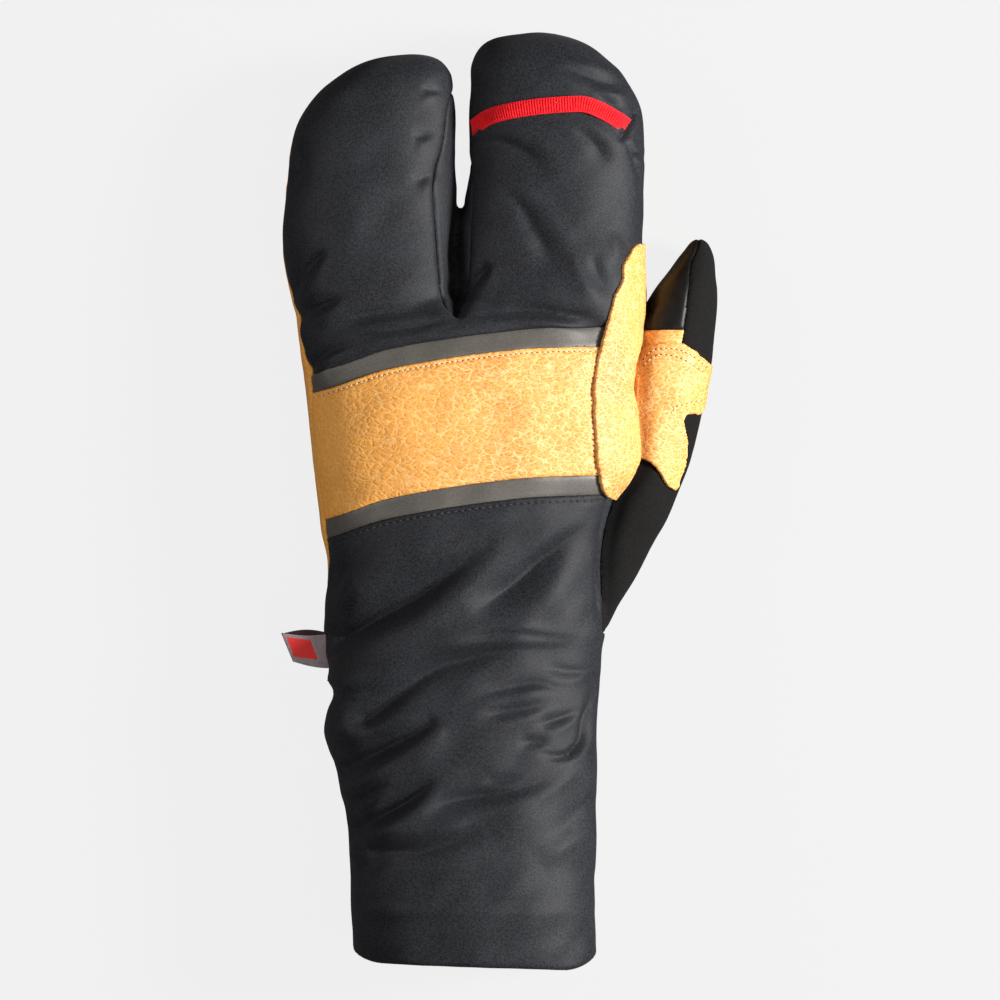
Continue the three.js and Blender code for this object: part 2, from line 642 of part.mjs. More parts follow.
// The shell and the panels that it is cut into
const half = seamGap / 2;
const shell = handSolid(0, shellStyle).add(fingerSolid(thumbSections, 0, thumbStyle)).subtract(hollow());
const backShell = shell.subtract(underSeam(half)).subtract(thumbZone(-half));
const bandTop = stripWidth + bandWidth;
const upperStripTop = bandTop + stripWidth;
const slotGusset = backShell.intersect(gussetZone(-half));
const fingers = backShell.intersect(betweenSeams(upperStripTop + half, Infinity));
const fingerShell = fingers.subtract(gussetZone(half));
const upperStrip = backShell.intersect(betweenSeams(bandTop + half, upperStripTop - half));
const knuckleBand = backShell.intersect(betweenSeams(stripWidth + half, bandTop - half));
const lowerStrip = backShell.intersect(betweenSeams(half, stripWidth - half));
const gauntlet = backShell.intersect(betweenSeams(-Infinity, -half));
const palm = shell.intersect(underSeam(-half)).subtract(thumbZone(-half));

const thumbShell = shell.intersect(thumbZone(half));
const thumbBack = thumbShell.subtract(innerThumbZone(half));
const thumbInner = thumbShell.intersect(innerThumbZone(-half));
const thumbWeb = thumbInner.intersect(slab(-farAway, padY - half));
const thumbPad = thumbInner.intersect(slab(padY + half, farAway));

// Leather sewn over the shell, in one thickness that follows it
const skinHand = (grow) => handSolid(grow, skinStyle);
const skinThumb = (grow) => fingerSolid(thumbSections, grow, thumbStyle);
const clearOfShell = skinHand(seamGap).add(skinThumb(seamGap));
const leather = seamGap + leatherThickness;
const wrapZone = outlineZone(wrapOutline, handRight, palmY + wrapStart, wrapWidth, wrapLength, wrapLow);
const indexWrap = skinHand(leather).subtract(clearOfShell).intersect(wrapZone);
const patchX = handRight + thumbReach - patchInset;
const patchZone = outlineZone(patchOutline, patchX, palmY + patchStart, patchWidth, patchLength, patchLow);
const crotchPatch = skinThumb(leather)
  .subtract(clearOfShell)
  .subtract(skinHand(leather + seamGap))
  .intersect(patchZone);

// The pull ribbon lies over the index stall
function ribbonZone() {
  const { x, y, width, length } = zones.indexStall;
  const places = ribbonRows.map((row) => new THREE.Vector2(x + row.across * width, y + row.along * length));
  const line = new THREE.SplineCurve(places);
  const shares = spread(0, 1, 14);
  const side = (offset) =>
    shares.map((share) => {
      const point = line.getPointAt(share);
      const way = line.getTangentAt(share);
      return [point.x - way.y * offset, point.y + way.x * offset];
    });
  const outline = [...side(ribbonWidth / 2), ...side(-ribbonWidth / 2).reverse()];
  return prism(outline, widestShare * stallThickness);
}
const stallSkin = (grow) => fingerSolid(indexStallSections, grow, stallStyle);
const ribbonSkin = stallSkin(seamGap + ribbonThickness).subtract(stallSkin(seamGap));
const pullRibbon = ribbonSkin.intersect(ribbonZone());

// The label is a folded tape whose two ends meet the gauntlet's side. Its profile is drawn with X across
// the mitt and Y upwards, then stood up to run along the mitt, and leans out as it goes.
function labelSolid() {
  const y = rimY + labelStart;
  const section = sectionAt(bodySections, y + labelWidth / 2);
  const z = section.low + widestShare * (section.high - section.low);
  const root = section.left + backWall;
  const radius = labelFold / 2;
  const fold = (r) => new THREE.EllipseCurve(handLeft + radius, z, r, r, Math.PI / 2, 1.5 * Math.PI);
  const inner = radius - labelThickness;
  const profile = new THREE.Shape([
    new THREE.Vector2(root, z + radius),
    ...fold(radius).getPoints(6),
    new THREE.Vector2(root, z - radius),
    new THREE.Vector2(root, z - inner),
    ...fold(inner).getPoints(6).reverse(),
    new THREE.Vector2(root, z + inner),
  ]);
  const geometry = new THREE.ExtrudeGeometry(profile, { depth: labelWidth, bevelEnabled: false });
  const lean = labelLean / labelWidth;
  const stand = new THREE.Matrix4();
  stand.makeBasis(new THREE.Vector3(1, 0, 0), new THREE.Vector3(0, 0, 1), new THREE.Vector3(-lean, 1, 0));
  geometry.applyMatrix4(stand);
  geometry.translate(labelLean, y, 0);
  return solidOf(geometry).subtract(skinHand(seamGap));
}

// Finishes, as they look in daylight
const softshell = { color: 0x34353a, roughness: 0.82, metalness: 0 };
const tanLeather = { color: 0xe0a552, roughness: 0.62, metalness: 0 };
const greyTape = { color: 0x5c574f, roughness: 0.45, metalness: 0.1 };
const matteBlack = { color: 0x232221, roughness: 0.75, metalness: 0 };
const glossBlack = { color: 0x14110f, roughness: 0.3, metalness: 0 };
const redTape = { color: 0xe21d24, roughness: 0.6, metalness: 0 };
const labelCloth = { color: 0x6d6063, roughness: 0.85, metalness: 0 };

function meshOf(name, solid, finish) {
  const data = solid.getMesh();
  const positions = new Float32Array(data.numVert * 3);
  for (let i = 0; i < data.numVert; i++) {
    positions.set(data.vertProperties.subarray(i * data.numProp, i * data.numProp + 3), i * 3);
  }
  const geometry = new THREE.BufferGeometry();
  geometry.setAttribute("position", new THREE.BufferAttribute(positions, 3));
  geometry.setIndex(new THREE.BufferAttribute(data.triVerts, 1));
  geometry.computeVertexNormals();
  const mesh = new THREE.Mesh(geometry, new THREE.MeshStandardMaterial(finish));
  mesh.name = name;
  return mesh;
}

const mitt = new THREE.Group();
mitt.add(
  meshOf("finger_shell", fingerShell, softshell),
  meshOf("slot_gusset", slotGusset, softshell),
  meshOf("upper_strip", upperStrip, greyTape),
  meshOf("knuckle_band", knuckleBand, tanLeather),
  meshOf("lower_strip", lowerStrip, greyTape),
  meshOf("gauntlet", gauntlet, softshell),
  meshOf("palm", palm, tanLeather),
  meshOf("thumb_back", thumbBack, matteBlack),
  meshOf("thumb_pad", thumbPad, glossBlack),
  meshOf("thumb_web", thumbWeb, tanLeather),
  meshOf("index_wrap", indexWrap, tanLeather),
  meshOf("crotch_patch", crotchPatch, tanLeather),
  meshOf("pull_ribbon", pullRibbon, redTape),
  meshOf("side_label", labelSolid(), labelCloth),
);

export default mitt;
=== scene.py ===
# Dresses the lobster claw mitt: padded softshell, pebbled leather, tape, ribbon and stitches.
# The mitt is modelled in millimetres and goes into Blender in metres, in the frame's own axes.
import math
import bpy
import numpy as np
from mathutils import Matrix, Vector
from mathutils.bvhtree import BVHTree
from mathutils.kdtree import KDTree


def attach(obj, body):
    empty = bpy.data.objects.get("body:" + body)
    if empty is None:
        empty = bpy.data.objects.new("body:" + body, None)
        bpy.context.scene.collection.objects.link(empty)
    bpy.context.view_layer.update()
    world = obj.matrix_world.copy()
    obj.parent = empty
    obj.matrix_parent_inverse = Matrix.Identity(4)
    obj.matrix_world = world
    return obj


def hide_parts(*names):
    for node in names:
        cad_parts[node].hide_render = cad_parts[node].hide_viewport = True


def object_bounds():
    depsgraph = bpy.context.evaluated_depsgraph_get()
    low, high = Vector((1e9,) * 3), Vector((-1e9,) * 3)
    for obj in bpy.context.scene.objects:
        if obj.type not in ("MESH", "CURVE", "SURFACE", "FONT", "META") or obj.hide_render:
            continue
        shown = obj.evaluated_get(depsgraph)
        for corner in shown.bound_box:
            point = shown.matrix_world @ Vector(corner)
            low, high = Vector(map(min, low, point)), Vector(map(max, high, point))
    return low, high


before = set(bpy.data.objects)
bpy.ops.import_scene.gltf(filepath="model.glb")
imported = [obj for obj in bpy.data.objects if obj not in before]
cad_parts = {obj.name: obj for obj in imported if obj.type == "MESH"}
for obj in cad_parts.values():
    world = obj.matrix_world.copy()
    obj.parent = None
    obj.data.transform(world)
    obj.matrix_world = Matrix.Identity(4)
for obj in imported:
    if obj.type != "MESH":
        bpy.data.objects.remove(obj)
cadBox = [[float(v) for v in corner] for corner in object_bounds()]
metre = 0.001  # one millimetre


# The form: lengths, widths and thicknesses of the filled mitt
form = {
    "gauntletLength": 159.1, "palmLength": 63.9, "indexStallLength": 95.2, "outerStallLength": 88.2,
    "cuffWidth": 83.3, "cuffThickness": 58, "cuffOffset": 4.1, "handThickness": 56, "slotWidth": 2.7,
    "stallThickness": 42, "thumbLength": 135, "thumbDrop": 47.6, "thumbReach": 25.5, "thumbThickness": 34,
    "widestShare": 0.52, "crownRound": 2.25, "soleRound": 3.2, "soleSpread": 1.07,
    "rimCorner": 7.5, "rimSlant": 3.0, "cornerShare": 0.76,
    "voxel": 0.9, "settle": 11,  # cell of the remeshed surface, and how often it is smoothed
}
handLeft = cadBox[0][0] / metre
handRight = cadBox[1][0] / metre - form["thumbReach"]
handWidth = handRight - handLeft
handX = (handLeft + handRight) / 2
rimY = cadBox[0][1] / metre
palmY = rimY + form["gauntletLength"]
slotY = palmY + form["palmLength"]
cuffX = handX + form["cuffOffset"]
stallWidth = (handWidth - form["slotWidth"]) / 2
thumbY = palmY - form["thumbDrop"]


def table(columns, text):
    rows = np.array([[float(v) for v in line.split()] for line in text.strip().splitlines()])
    return dict(zip(columns.split(), rows.T))


gauntletRows = table("along left right low high", """
    0      -0.984  1      0  0.95
    0.06   -0.992  0.99   0  0.98
    0.145  -1.008  0.984  0  1
    0.252  -1.024  0.984  0  1
    0.338  -1.057  0.992  0  0.99
    0.423  -1.131  1      0  0.98
    0.476  -1.196  1      0  0.98
    0.513  -1.237  1      0  0.98
    0.551  -1.212  1.008  0  0.97
    0.592  -1.145  1.016  0  0.96
    0.616  -1.205  1.02   0  0.95
    0.637  -1.18   1.024  0  0.95
    0.679  -1.229  1.041  0  0.95
    0.722  -1.245  1.073  0  0.95
    0.765  -1.22   1.073  0  0.95
    0.808  -1.204  1.065  0  0.95
    0.861  -1.204  1.057  0  0.95
    0.915  -1.237  1.073  0  0.95
    0.957  -1.257  1.106  0  0.96
""")
handRows = table("along left right low high", """
    0      -0.801  0.856  0     0.99
    0.106  -0.814  0.939  0     1
    0.213  -0.828  0.987  0     1
    0.372  -0.845  0.983  0     1
    0.532  -0.861  0.97   0     0.99
    0.691  -0.878  0.975  0     0.97
    0.851  -0.903  0.988  0     0.935
    1      -0.93   0.985  0     0.87
    1.06   -0.92   0.95   0.01  0.76
    1.14   -0.86   0.88   0.03  0.6
    1.28   -0.7    0.7    0.07  0.5
    1.47   -0.4    0.4    0.14  0.4
""")
outerStallRows = table("along left right low high", """
    -0.3   0.3    0.9    0.02  0.8
    -0.11  0.13   0.97   0     1.08
    0      0.071  1.037  0     1.13
    0.085  0.04   1.025  0     1.12
    0.162  0.017  1.014  0     1.09
    0.239  0.003  1.008  0     1.07
    0.316  0      1.003  0     1.05
    0.393  0.006  0.997  0     1.03
    0.47   0.017  0.997  0     1.02
    0.547  0.028  0.992  0     1
    0.624  0.045  0.988  0     0.99
    0.701  0.074  0.986  0     0.97
    0.778  0.125  0.986  0.01  0.94
    0.855  0.21   0.978  0.03  0.9
    0.913  0.312  0.969  0.07  0.84
    0.952  0.408  0.935  0.12  0.77
    0.979  0.516  0.89   0.19  0.69
    0.994  0.612  0.827  0.27  0.6
    1      0.7    0.75   0.36  0.5
""")
indexStallRows = table("along left right low high", """
    -0.28  0.1     0.8    0.02  0.8
    -0.1   -0.06   0.96   0     1.08
    0      -0.096  1      0     1.13
    0.079  -0.1    1      0     1.12
    0.15   -0.096  1      0     1.09
    0.221  -0.079  1      0     1.07
    0.293  -0.056  0.998  0     1.05
    0.364  -0.028  1      0     1.03
    0.436  -0.008  1.003  0     1.02
    0.507  0.008   1.008  0     1.01
    0.579  0.014   1.011  0     1
    0.65   0.018   1.006  0     0.98
    0.721  0.018   0.989  0     0.96
    0.793  0.018   0.944  0.01  0.93
    0.864  0.017   0.876  0.03  0.89
    0.918  0.048   0.782  0.07  0.83
    0.954  0.09    0.703  0.12  0.76
    0.979  0.155   0.61   0.19  0.68
    0.993  0.243   0.508  0.27  0.6
    1      0.35    0.42   0.36  0.5
""")
thumbRows = table("along left right low high", """
    0      -0.98   -0.6    0.06  0.6
    0.038  -1.15   -0.453  0.02  0.78
    0.088  -1.25   -0.32   0     0.88
    0.151  -1.25   -0.12   0     0.94
    0.227  -1.15   0.107   0     0.98
    0.302  -1.05   0.32    0     1
    0.378  -0.97   0.493   0     1
    0.453  -0.9    0.64    0     1
    0.529  -0.82   0.747   0     1
    0.605  -0.7    0.84    0     0.99
    0.68   -0.53   0.913   0     0.97
    0.743  -0.33   0.96    0     0.95
    0.793  -0.15   0.98    0     0.93
    0.831  -0.02   0.993   0     0.91
    0.882  0.16    1       0.01  0.87
    0.932  0.347   0.987   0.04  0.8
    0.965  0.467   0.964   0.09  0.73
    0.988  0.573   0.92    0.16  0.66
    1.004  0.64    0.867   0.24  0.59
    1.013  0.72    0.79    0.34  0.49
""")
seamRows = table("along left right", """
    -0.47  0.5   0.4
    -0.4   0.52  0.4
    -0.25  0.64  0.4
    -0.1   0.68  0.4
    0.27   0.62  0.4
    0.58   0.68  0.4
    0.8    0.64  0.4
    1.06   0.55  0.4
    1.22   0.48  0.4
    1.6    0.42  0.4
    2.6    0.42  0.4
""")
bandRows = table("across drop", """
    -1.6   1.3
    -0.83  0.95
    -0.4   0.46
    0.1    0.15
    0.43   0.03
    0.8    0
    1.6    0
""")


def columnAt(rows, place, column, at):
    # A column at places between the rows, on a curve that never overshoots them
    xs, ys = rows[place], rows[column]
    slopes = np.diff(ys) / np.diff(xs)
    before, after = slopes[:-1], slopes[1:]
    total = np.where(before + after == 0, 1, before + after)
    inner = np.where(before * after > 0, 2 * before * after / total, 0)
    tangents = np.concatenate([slopes[:1], inner, slopes[-1:]])
    at = np.clip(at, xs[0], xs[-1])
    i = np.clip(np.searchsorted(xs, at) - 1, 0, len(xs) - 2)
    span = xs[i + 1] - xs[i]
    t = (at - xs[i]) / span
    rise = t * t * (3 - 2 * t)
    leave = t * (1 - t) ** 2 * span * tangents[i]
    arrive = t * t * (t - 1) * span * tangents[i + 1]
    return ys[i] * (1 - rise) + ys[i + 1] * rise + leave + arrive


def sectionsOf(rows, y, length, x, width, thickness):
    placed = {"y": y + rows["along"] * length}
    placed.update({side: x + rows[side] * width for side in ("left", "right")})
    placed.update({level: rows[level] * thickness for level in ("low", "high")})
    return placed


gauntletSections = sectionsOf(
    gauntletRows, rimY, form["gauntletLength"], cuffX, form["cuffWidth"] / 2, form["cuffThickness"])
handSections = sectionsOf(
    handRows, palmY, form["palmLength"], handX, handWidth / 2, form["handThickness"])
bodySections = {c: np.concatenate([gauntletSections[c], handSections[c]]) for c in gauntletSections}
outerSections = sectionsOf(
    outerStallRows, slotY, form["outerStallLength"], handLeft, stallWidth, form["stallThickness"])
indexSections = sectionsOf(
    indexStallRows, slotY, form["indexStallLength"],
    handRight - stallWidth, stallWidth, form["stallThickness"])
thumbSections = sectionsOf(
    thumbRows, thumbY, form["thumbLength"], handRight, form["thumbReach"], form["thumbThickness"])


def sectionAt(sections, y, column):
    return columnAt(sections, "y", column, y)


def loft(sections, ys, sides=112):
    # Rings of points round the sections, as one closed mesh in millimetres
    angle = np.linspace(0, 2 * math.pi, sides, endpoint=False)
    c, s = np.cos(angle), np.sin(angle)
    power = np.where(s >= 0, 2 / form["crownRound"], 2 / form["soleRound"])
    across = np.sign(c) * np.abs(c) ** power
    height = np.abs(s) ** power
    left, right, low, high = (sectionAt(sections, ys, k)[:, None] for k in ("left", "right", "low", "high"))
    widest = low + form["widestShare"] * (high - low)
    x = (left + right) / 2 + (right - left) / 2 * across
    over = widest + (high - widest) * height
    under = widest - np.minimum(widest - low, (widest - low) * form["soleSpread"] * height)
    z = np.where(s >= 0, over, under)
    y = ys[:, None] + 0 * across
    rings = np.stack([x, y, z], 2)
    count = len(ys)
    verts = np.concatenate([rings.reshape(-1, 3), rings[0].mean(0)[None], rings[-1].mean(0)[None]])
    i = np.arange(count - 1)[:, None] * sides
    j = np.arange(sides)[None]
    k = (j + 1) % sides
    a, b, c2, d = i + j, i + k, i + sides + k, i + sides + j
    walls = np.concatenate([np.stack([a, c2, b], 2).reshape(-1, 3), np.stack([a, d, c2], 2).reshape(-1, 3)])
    ring = np.arange(sides)
    turn = (ring + 1) % sides
    first = np.stack([np.full(sides, count * sides), ring, turn], 1)
    end = (count - 1) * sides
    last = np.stack([np.full(sides, count * sides + 1), end + turn, end + ring], 1)
    return verts, np.concatenate([walls, first, last])


def rimRise(across, y):
    corner = np.clip((np.abs(across) - form["cornerShare"]) / (1 - form["cornerShare"]), 0, 1)
    near = np.clip(1 - (y - rimY) / (4 * form["rimCorner"]), 0, 1)
    slant = form["rimSlant"] * np.maximum(0, form["cornerShare"] - across) / (1 + form["cornerShare"])
    return (form["rimCorner"] * (1 - np.sqrt(1 - corner ** 2)) + slant) * near ** 2


def tipRows(sections, count=90):
    # Rows that crowd towards the tip, where the form closes
    u = np.sin(np.linspace(0, 1, count) * math.pi / 2)
    return sections["y"][0] + u * (sections["y"][-1] - sections["y"][0])


def meshFrom(name, verts, tris, scale=metre):
    mesh = bpy.data.meshes.new(name)
    mesh.vertices.add(len(verts))
    mesh.vertices.foreach_set("co", (np.asarray(verts, float) * scale).ravel())
    mesh.loops.add(len(tris) * 3)
    mesh.loops.foreach_set("vertex_index", np.asarray(tris, np.int32).ravel())
    mesh.polygons.add(len(tris))
    mesh.polygons.foreach_set("loop_start", np.arange(0, len(tris) * 3, 3, dtype=np.int32))
    mesh.polygons.foreach_set("loop_total", np.full(len(tris), 3, np.int32))
    mesh.update(calc_edges=True)
    mesh.validate()
    return mesh


def arraysFrom(mesh):
    verts = np.empty(len(mesh.vertices) * 3)
    mesh.vertices.foreach_get("co", verts)
    mesh.calc_loop_triangles()
    tris = np.empty(len(mesh.loop_triangles) * 3, np.int32)
    mesh.loop_triangles.foreach_get("vertices", tris)
    return verts.reshape(-1, 3) / metre, tris.reshape(-1, 3)


def evaluated(obj):
    # The object with its modifiers applied, as a new plain mesh
    graph = bpy.context.evaluated_depsgraph_get()
    return bpy.data.meshes.new_from_object(obj.evaluated_get(graph))


def dropObject(obj):
    mesh = obj.data
    bpy.data.objects.remove(obj)
    bpy.data.meshes.remove(mesh)


def joined(parts):
    # Several surfaces as one list of points and one of triangles
    starts = np.cumsum([0] + [len(verts) for verts, _ in parts[:-1]])
    tris = [tris + start for (_, tris), start in zip(parts, starts)]
    return np.concatenate([verts for verts, _ in parts]), np.concatenate(tris)


def remeshed(*parts):
    # One closed skin round several closed forms, smoothed where they join
    obj = bpy.data.objects.new("skin", meshFrom("skin", *joined(parts)))
    bpy.context.scene.collection.objects.link(obj)
    remesh = obj.modifiers.new("remesh", "REMESH")
    remesh.mode = "VOXEL"
    remesh.voxel_size = form["voxel"] * metre
    smooth = obj.modifiers.new("settle", "SMOOTH")
    smooth.factor = 0.5
    smooth.iterations = form["settle"]
    mesh = evaluated(obj)
    result = arraysFrom(mesh)
    bpy.data.meshes.remove(mesh)
    dropObject(obj)
    return result


def normalsOf(verts, tris):
    corner = verts[tris]
    face = np.cross(corner[:, 1] - corner[:, 0], corner[:, 2] - corner[:, 0])
    total = np.zeros_like(verts)
    for k in range(3):
        for axis in range(3):
            total[:, axis] += np.bincount(tris[:, k], face[:, axis], len(verts))
    return total / np.maximum(np.linalg.norm(total, axis=1, keepdims=True), 1e-12)


def smoothStep(low, high, value):
    t = np.clip((value - low) / (high - low), 0, 1)
    return t * t * (3 - 2 * t)


def softNoise(points, size, seed):
    # A smooth random field with bumps about this size
    rng = np.random.default_rng(seed)
    total = np.zeros(len(points))
    for _ in range(18):
        way = rng.normal(size=3)
        way /= np.linalg.norm(way)
        total += np.cos(points @ way * (2 * math.pi / (size * rng.uniform(0.7, 1.6))) + rng.uniform(0, 6.3))
    return total / 3


def fold(breadth, depth, lip, *path, runsOut=False):
    return {"breadth": breadth, "depth": depth, "lip": lip, "path": path, "runsOut": runsOut}


# Folds of the cloth, drawn from above in millimetres. Depth is below 0 for a ridge, and lip raises the
# side to the left of the stroke, or to its right when it is below 0.
gauntletFolds = [
    fold(4.6, 7.2, 1.9, (1, -11), (-14.6, -22.8), (-29.6, -33), (-44.2, -39.8), (-58, -47), runsOut=True),
    fold(4.6, 4.8, 1.6, (29.6, -7.8), (16, -19.4), (3.4, -29.6), (-10.2, -38.4)),
    fold(3.2, 4.2, -1.8, (23.8, -50), (1, -51), (-10.2, -53.4), (-21.4, -56.8),
         (-33, -63.6), (-46, -73), runsOut=True),
    fold(1.6, 1, -0.5, (27, -47.2), (1, -45.2), (-14.6, -47.6)),
    fold(3.2, 4.8, 1.7, (-20.5, -73.2), (-24, -75.5), (-33, -80.6), (-44.2, -86), (-56, -92), runsOut=True),
    fold(2.2, 2.4, 0.9, (-37, -94.8), (-45.2, -99.6), (-54, -106), runsOut=True),
    fold(3, 4.4, 1.6, (-21.5, -94.4), (-26, -97.6), (-33, -102),
         (-44.2, -107.8), (-53, -112.2), runsOut=True),
    fold(2.8, 2.5, 1.2, (18, -94.2), (1, -98.6), (-14.6, -101), (-26.2, -105.4)),
    fold(2.8, 2.9, -1.3, (-5.8, -109.8), (-14.6, -114.6), (-27.2, -118), (-42, -118.4), runsOut=True),
    fold(1.5, 3, -0.4, (11, -84.5), (19, -86.6), (25, -85), (28.4, -80.5),
         (29.8, -74), (32.4, -68), (34, -61), runsOut=True),
    fold(1.7, 1.1, 0.4, (18, -81.6), (5.8, -81.6)),
    fold(1.6, 1.3, 0.5, (28.2, -70.7), (20.4, -73.8), (12, -76)),
    fold(1.8, 1.3, 0.5, (23.8, -64.6), (12.6, -61.9), (1, -63.6), (-12, -67)),
    fold(1.8, 1.3, 0.5, (18, -68), (6.8, -70.7), (-8, -72.4)),
    fold(1.5, 1, 0.4, (8.8, -94), (-6.8, -94.4)),
    fold(1.6, 0.9, 0.5, (33, -57), (24, -58), (14, -56)),
    fold(5.5, -1.7, 0, (36, -84), (22, -94.6), (9.8, -104.4), (-1, -118)),
    fold(3.6, 1.1, 0.4, (36, -98), (26, -106), (16, -118)),
    fold(4.5, -1.1, 0, (34, -109.2), (23.8, -115.6), (14, -124)),
    fold(5, -1.8, 0, (-29.6, -17), (-44.2, -27.2), (-55.4, -37.4)),
    fold(3.4, 3.4, 0, (-50, -20.5), (-54.5, -23), (-57.6, -28), runsOut=True),
    fold(3.4, 1.4, 0.5, (-36, -122), (-44, -124), (-52, -128), runsOut=True),
    fold(2.2, -0.35, 0, (45, -138.8), (-20, -139.4), (-62, -138.6), runsOut=True),
    fold(1.5, 0.2, 0, (45, -134.6), (-20, -135.4), (-62, -134.6), runsOut=True),
]
fingerFolds = [
    fold(2.6, 2.4, 0, (-66, 122), (-69.5, 116), (-71.5, 104.4)),
    fold(2.2, 1.9, 0.6, (-58, 84), (-63.6, 80.6), (-72, 70), runsOut=True),
    fold(2.2, 2.2, 0.8, (-52, 69.5), (-60, 66), (-69.5, 62), runsOut=True),
    fold(1.6, 1.7, 0.7, (-48, 52.6), (-56, 51), (-62, 47.5), (-65, 44), runsOut=True),
    fold(2, 2.2, 0.9, (-18, 63.8), (-30, 64), (-44.2, 62.6), (-58.8, 59.2)),
    fold(1.5, 1.3, 0.6, (-17, 61), (-30, 58.4), (-53.4, 56.4)),
    fold(2, 1.8, -0.7, (-14, 61.4), (6.8, 64.4), (23.8, 62.4), (35, 60.2)),
    fold(2, 1.9, 0.6, (-2.4, 80.4), (-6, 77.6), (-11.6, 71), runsOut=True),
    fold(2.6, 1.4, 0.7, (-9, 121), (1, 120.8), (10.2, 116), (17, 107.8)),
    fold(3.2, 1.9, 0.9, (-1, 107.8), (7.8, 97.6), (14.6, 86), (19.4, 76.2)),
    fold(2.2, 1.3, 0.6, (24, 126), (31, 121.6), (37.4, 112.6)),
    fold(2, 1.4, 0.8, (18.4, 147.8), (30.6, 143.8), (43.8, 139)),
    fold(1.6, 1.3, 0.6, (32, 137.6), (41.8, 131.6)),
    fold(3.6, -1.2, 0, (22.8, 86), (27.2, 74.4), (35, 63.6)),
    fold(2.4, 1.1, 0.5, (31, 84), (33, 76), (37, 68)),
    fold(2.6, -0.9, 0, (38.4, 92), (39.8, 79.2)),
    fold(2.2, -0.9, 0, (30.6, 140.4), (44.2, 136)),
    fold(0.9, 1.4, 0.3, (46.8, 133.6), (44.9, 129.5), (41.5, 123.1), runsOut=True),
    fold(1, 1.3, 0.5, (41.5, 123.1), (44.5, 117.6), (47.6, 111.5), (49, 104)),
    fold(1, 1.4, 0.4, (44.7, 117.1), (49.4, 115.9), runsOut=True),
    fold(1.3, 0.8, 0.4, (-19.4, 138.7), (-27, 139.6)),
    fold(1.6, 0.9, 0.4, (-21.8, 124.6), (-30, 123)),
    fold(1.8, 0.8, 0.4, (-20.5, 112), (-30, 107)),
    fold(1.7, 3.4, 0, (-14.6, 98), (-14.8, 82), (-14.4, 64), runsOut=True),
    fold(6, -0.8, 0, (-52, 110), (-50, 92), (-54, 76)),
]


def splinePoints(path, count):
    # Even points on a smooth curve through a few places
    path = np.array(path, float)
    if len(path) == 2:
        return path[0] + (path[1] - path[0]) * np.linspace(0, 1, count)[:, None]
    ends = np.concatenate([[2 * path[0] - path[1]], path, [2 * path[-1] - path[-2]]])
    t = np.linspace(0, len(path) - 1, count)
    i = np.clip(t.astype(int), 0, len(path) - 2)
    f = (t - i)[:, None]
    p0, p1, p2, p3 = ends[i], ends[i + 1], ends[i + 2], ends[i + 3]
    square = (2 * p0 - 5 * p1 + 4 * p2 - p3) * f ** 2
    cube = (3 * p1 - p0 - 3 * p2 + p3) * f ** 3
    return 0.5 * (2 * p1 + (p2 - p0) * f + square + cube)


def foldHeight(points, folds, samples=150):
    # Each fold is a valley that widens along its stroke, with a soft lip on one side
    total = np.zeros(len(points))
    flat = points[:, :2]
    for stroke in folds:
        path = splinePoints(stroke["path"], samples)
        reach = 4.5 * stroke["breadth"]
        near = np.all((flat > path.min(0) - reach) & (flat < path.max(0) + reach), axis=1).nonzero()[0]
        if not len(near):
            continue
        gap = flat[near][:, None] - path[None]
        k = (gap[..., 0] ** 2 + gap[..., 1] ** 2).argmin(1)
        way = np.gradient(path, axis=0)[k]
        way /= np.linalg.norm(way, axis=1, keepdims=True)
        rest = gap[np.arange(len(near)), k]
        aside = way[:, 0] * rest[:, 1] - way[:, 1] * rest[:, 0]
        past = way[:, 0] * rest[:, 0] + way[:, 1] * rest[:, 1]
        share = k / (samples - 1)
        breadth = stroke["breadth"] * (0.6 + 0.8 * share)
        fade = smoothStep(-0.05, 0.5, share) * np.exp(-(past / breadth) ** 2)
        if not stroke["runsOut"]:
            fade *= smoothStep(-0.05, 0.35, 1 - share)
        height = -stroke["depth"] * np.exp(-np.abs(aside / breadth) ** 1.5)
        side = aside * np.sign(stroke["lip"] or 1)
        height += abs(stroke["lip"]) * np.exp(-((side - 1.9 * breadth) / (1.3 * breadth)) ** 2)
        total[near] += height * fade
    return total


# Seams, as fields that are above 0 on one side
seams = {
    "bandStart": 1.4, "seamDrop": 16.5, "stripWidth": 6.6, "bandWidth": 44, "gap": 0.12,
    "heelShare": -0.47, "creaseStart": 2.7, "creaseInset": 0.9, "webStart": 0.45, "padStart": 0.781,
}
gussetRows = table("along left right", """
    -0.012  -0.045  -0.035
    0.04    -0.1    0.005
    0.13    -0.12   0.03
    0.3     -0.14   0.04
    0.5     -0.155  0.045
    0.65    -0.1    0.03
    0.82    -0.065  0.02
    0.9     -0.02   0.01
    1.25    -0.02   0.01
""")
thumbSeamRows = table("along share", """
    0      0.45
    0.35   0.52
    0.55   0.58
    0.74   0.65
    0.83   0.59
    0.9    0.5
    0.955  0.4
    1      0.45
""")


def seamY(x):
    drop = columnAt(bandRows, "across", "drop", (x - handX) / (handWidth / 2))
    return palmY + seams["bandStart"] - seams["seamDrop"] * drop


def palmSeamZ(x, y):
    along = (y - palmY) / form["palmLength"]
    past = np.clip((y - slotY) / form["palmLength"], 0, 1)
    hand = sectionAt(bodySections, np.minimum(y, slotY), "high")
    thickness = hand + (form["stallThickness"] - hand) * past
    share = np.clip((x - handLeft) / handWidth, 0, 1)
    left = columnAt(seamRows, "along", "left", along)
    right = columnAt(seamRows, "along", "right", along)
    slot = np.exp(-((x - handX) / 7) ** 2) * smoothStep(slotY - 4, slotY + 8, y)
    return (left + (right - left) * share) * thickness - 9 * slot


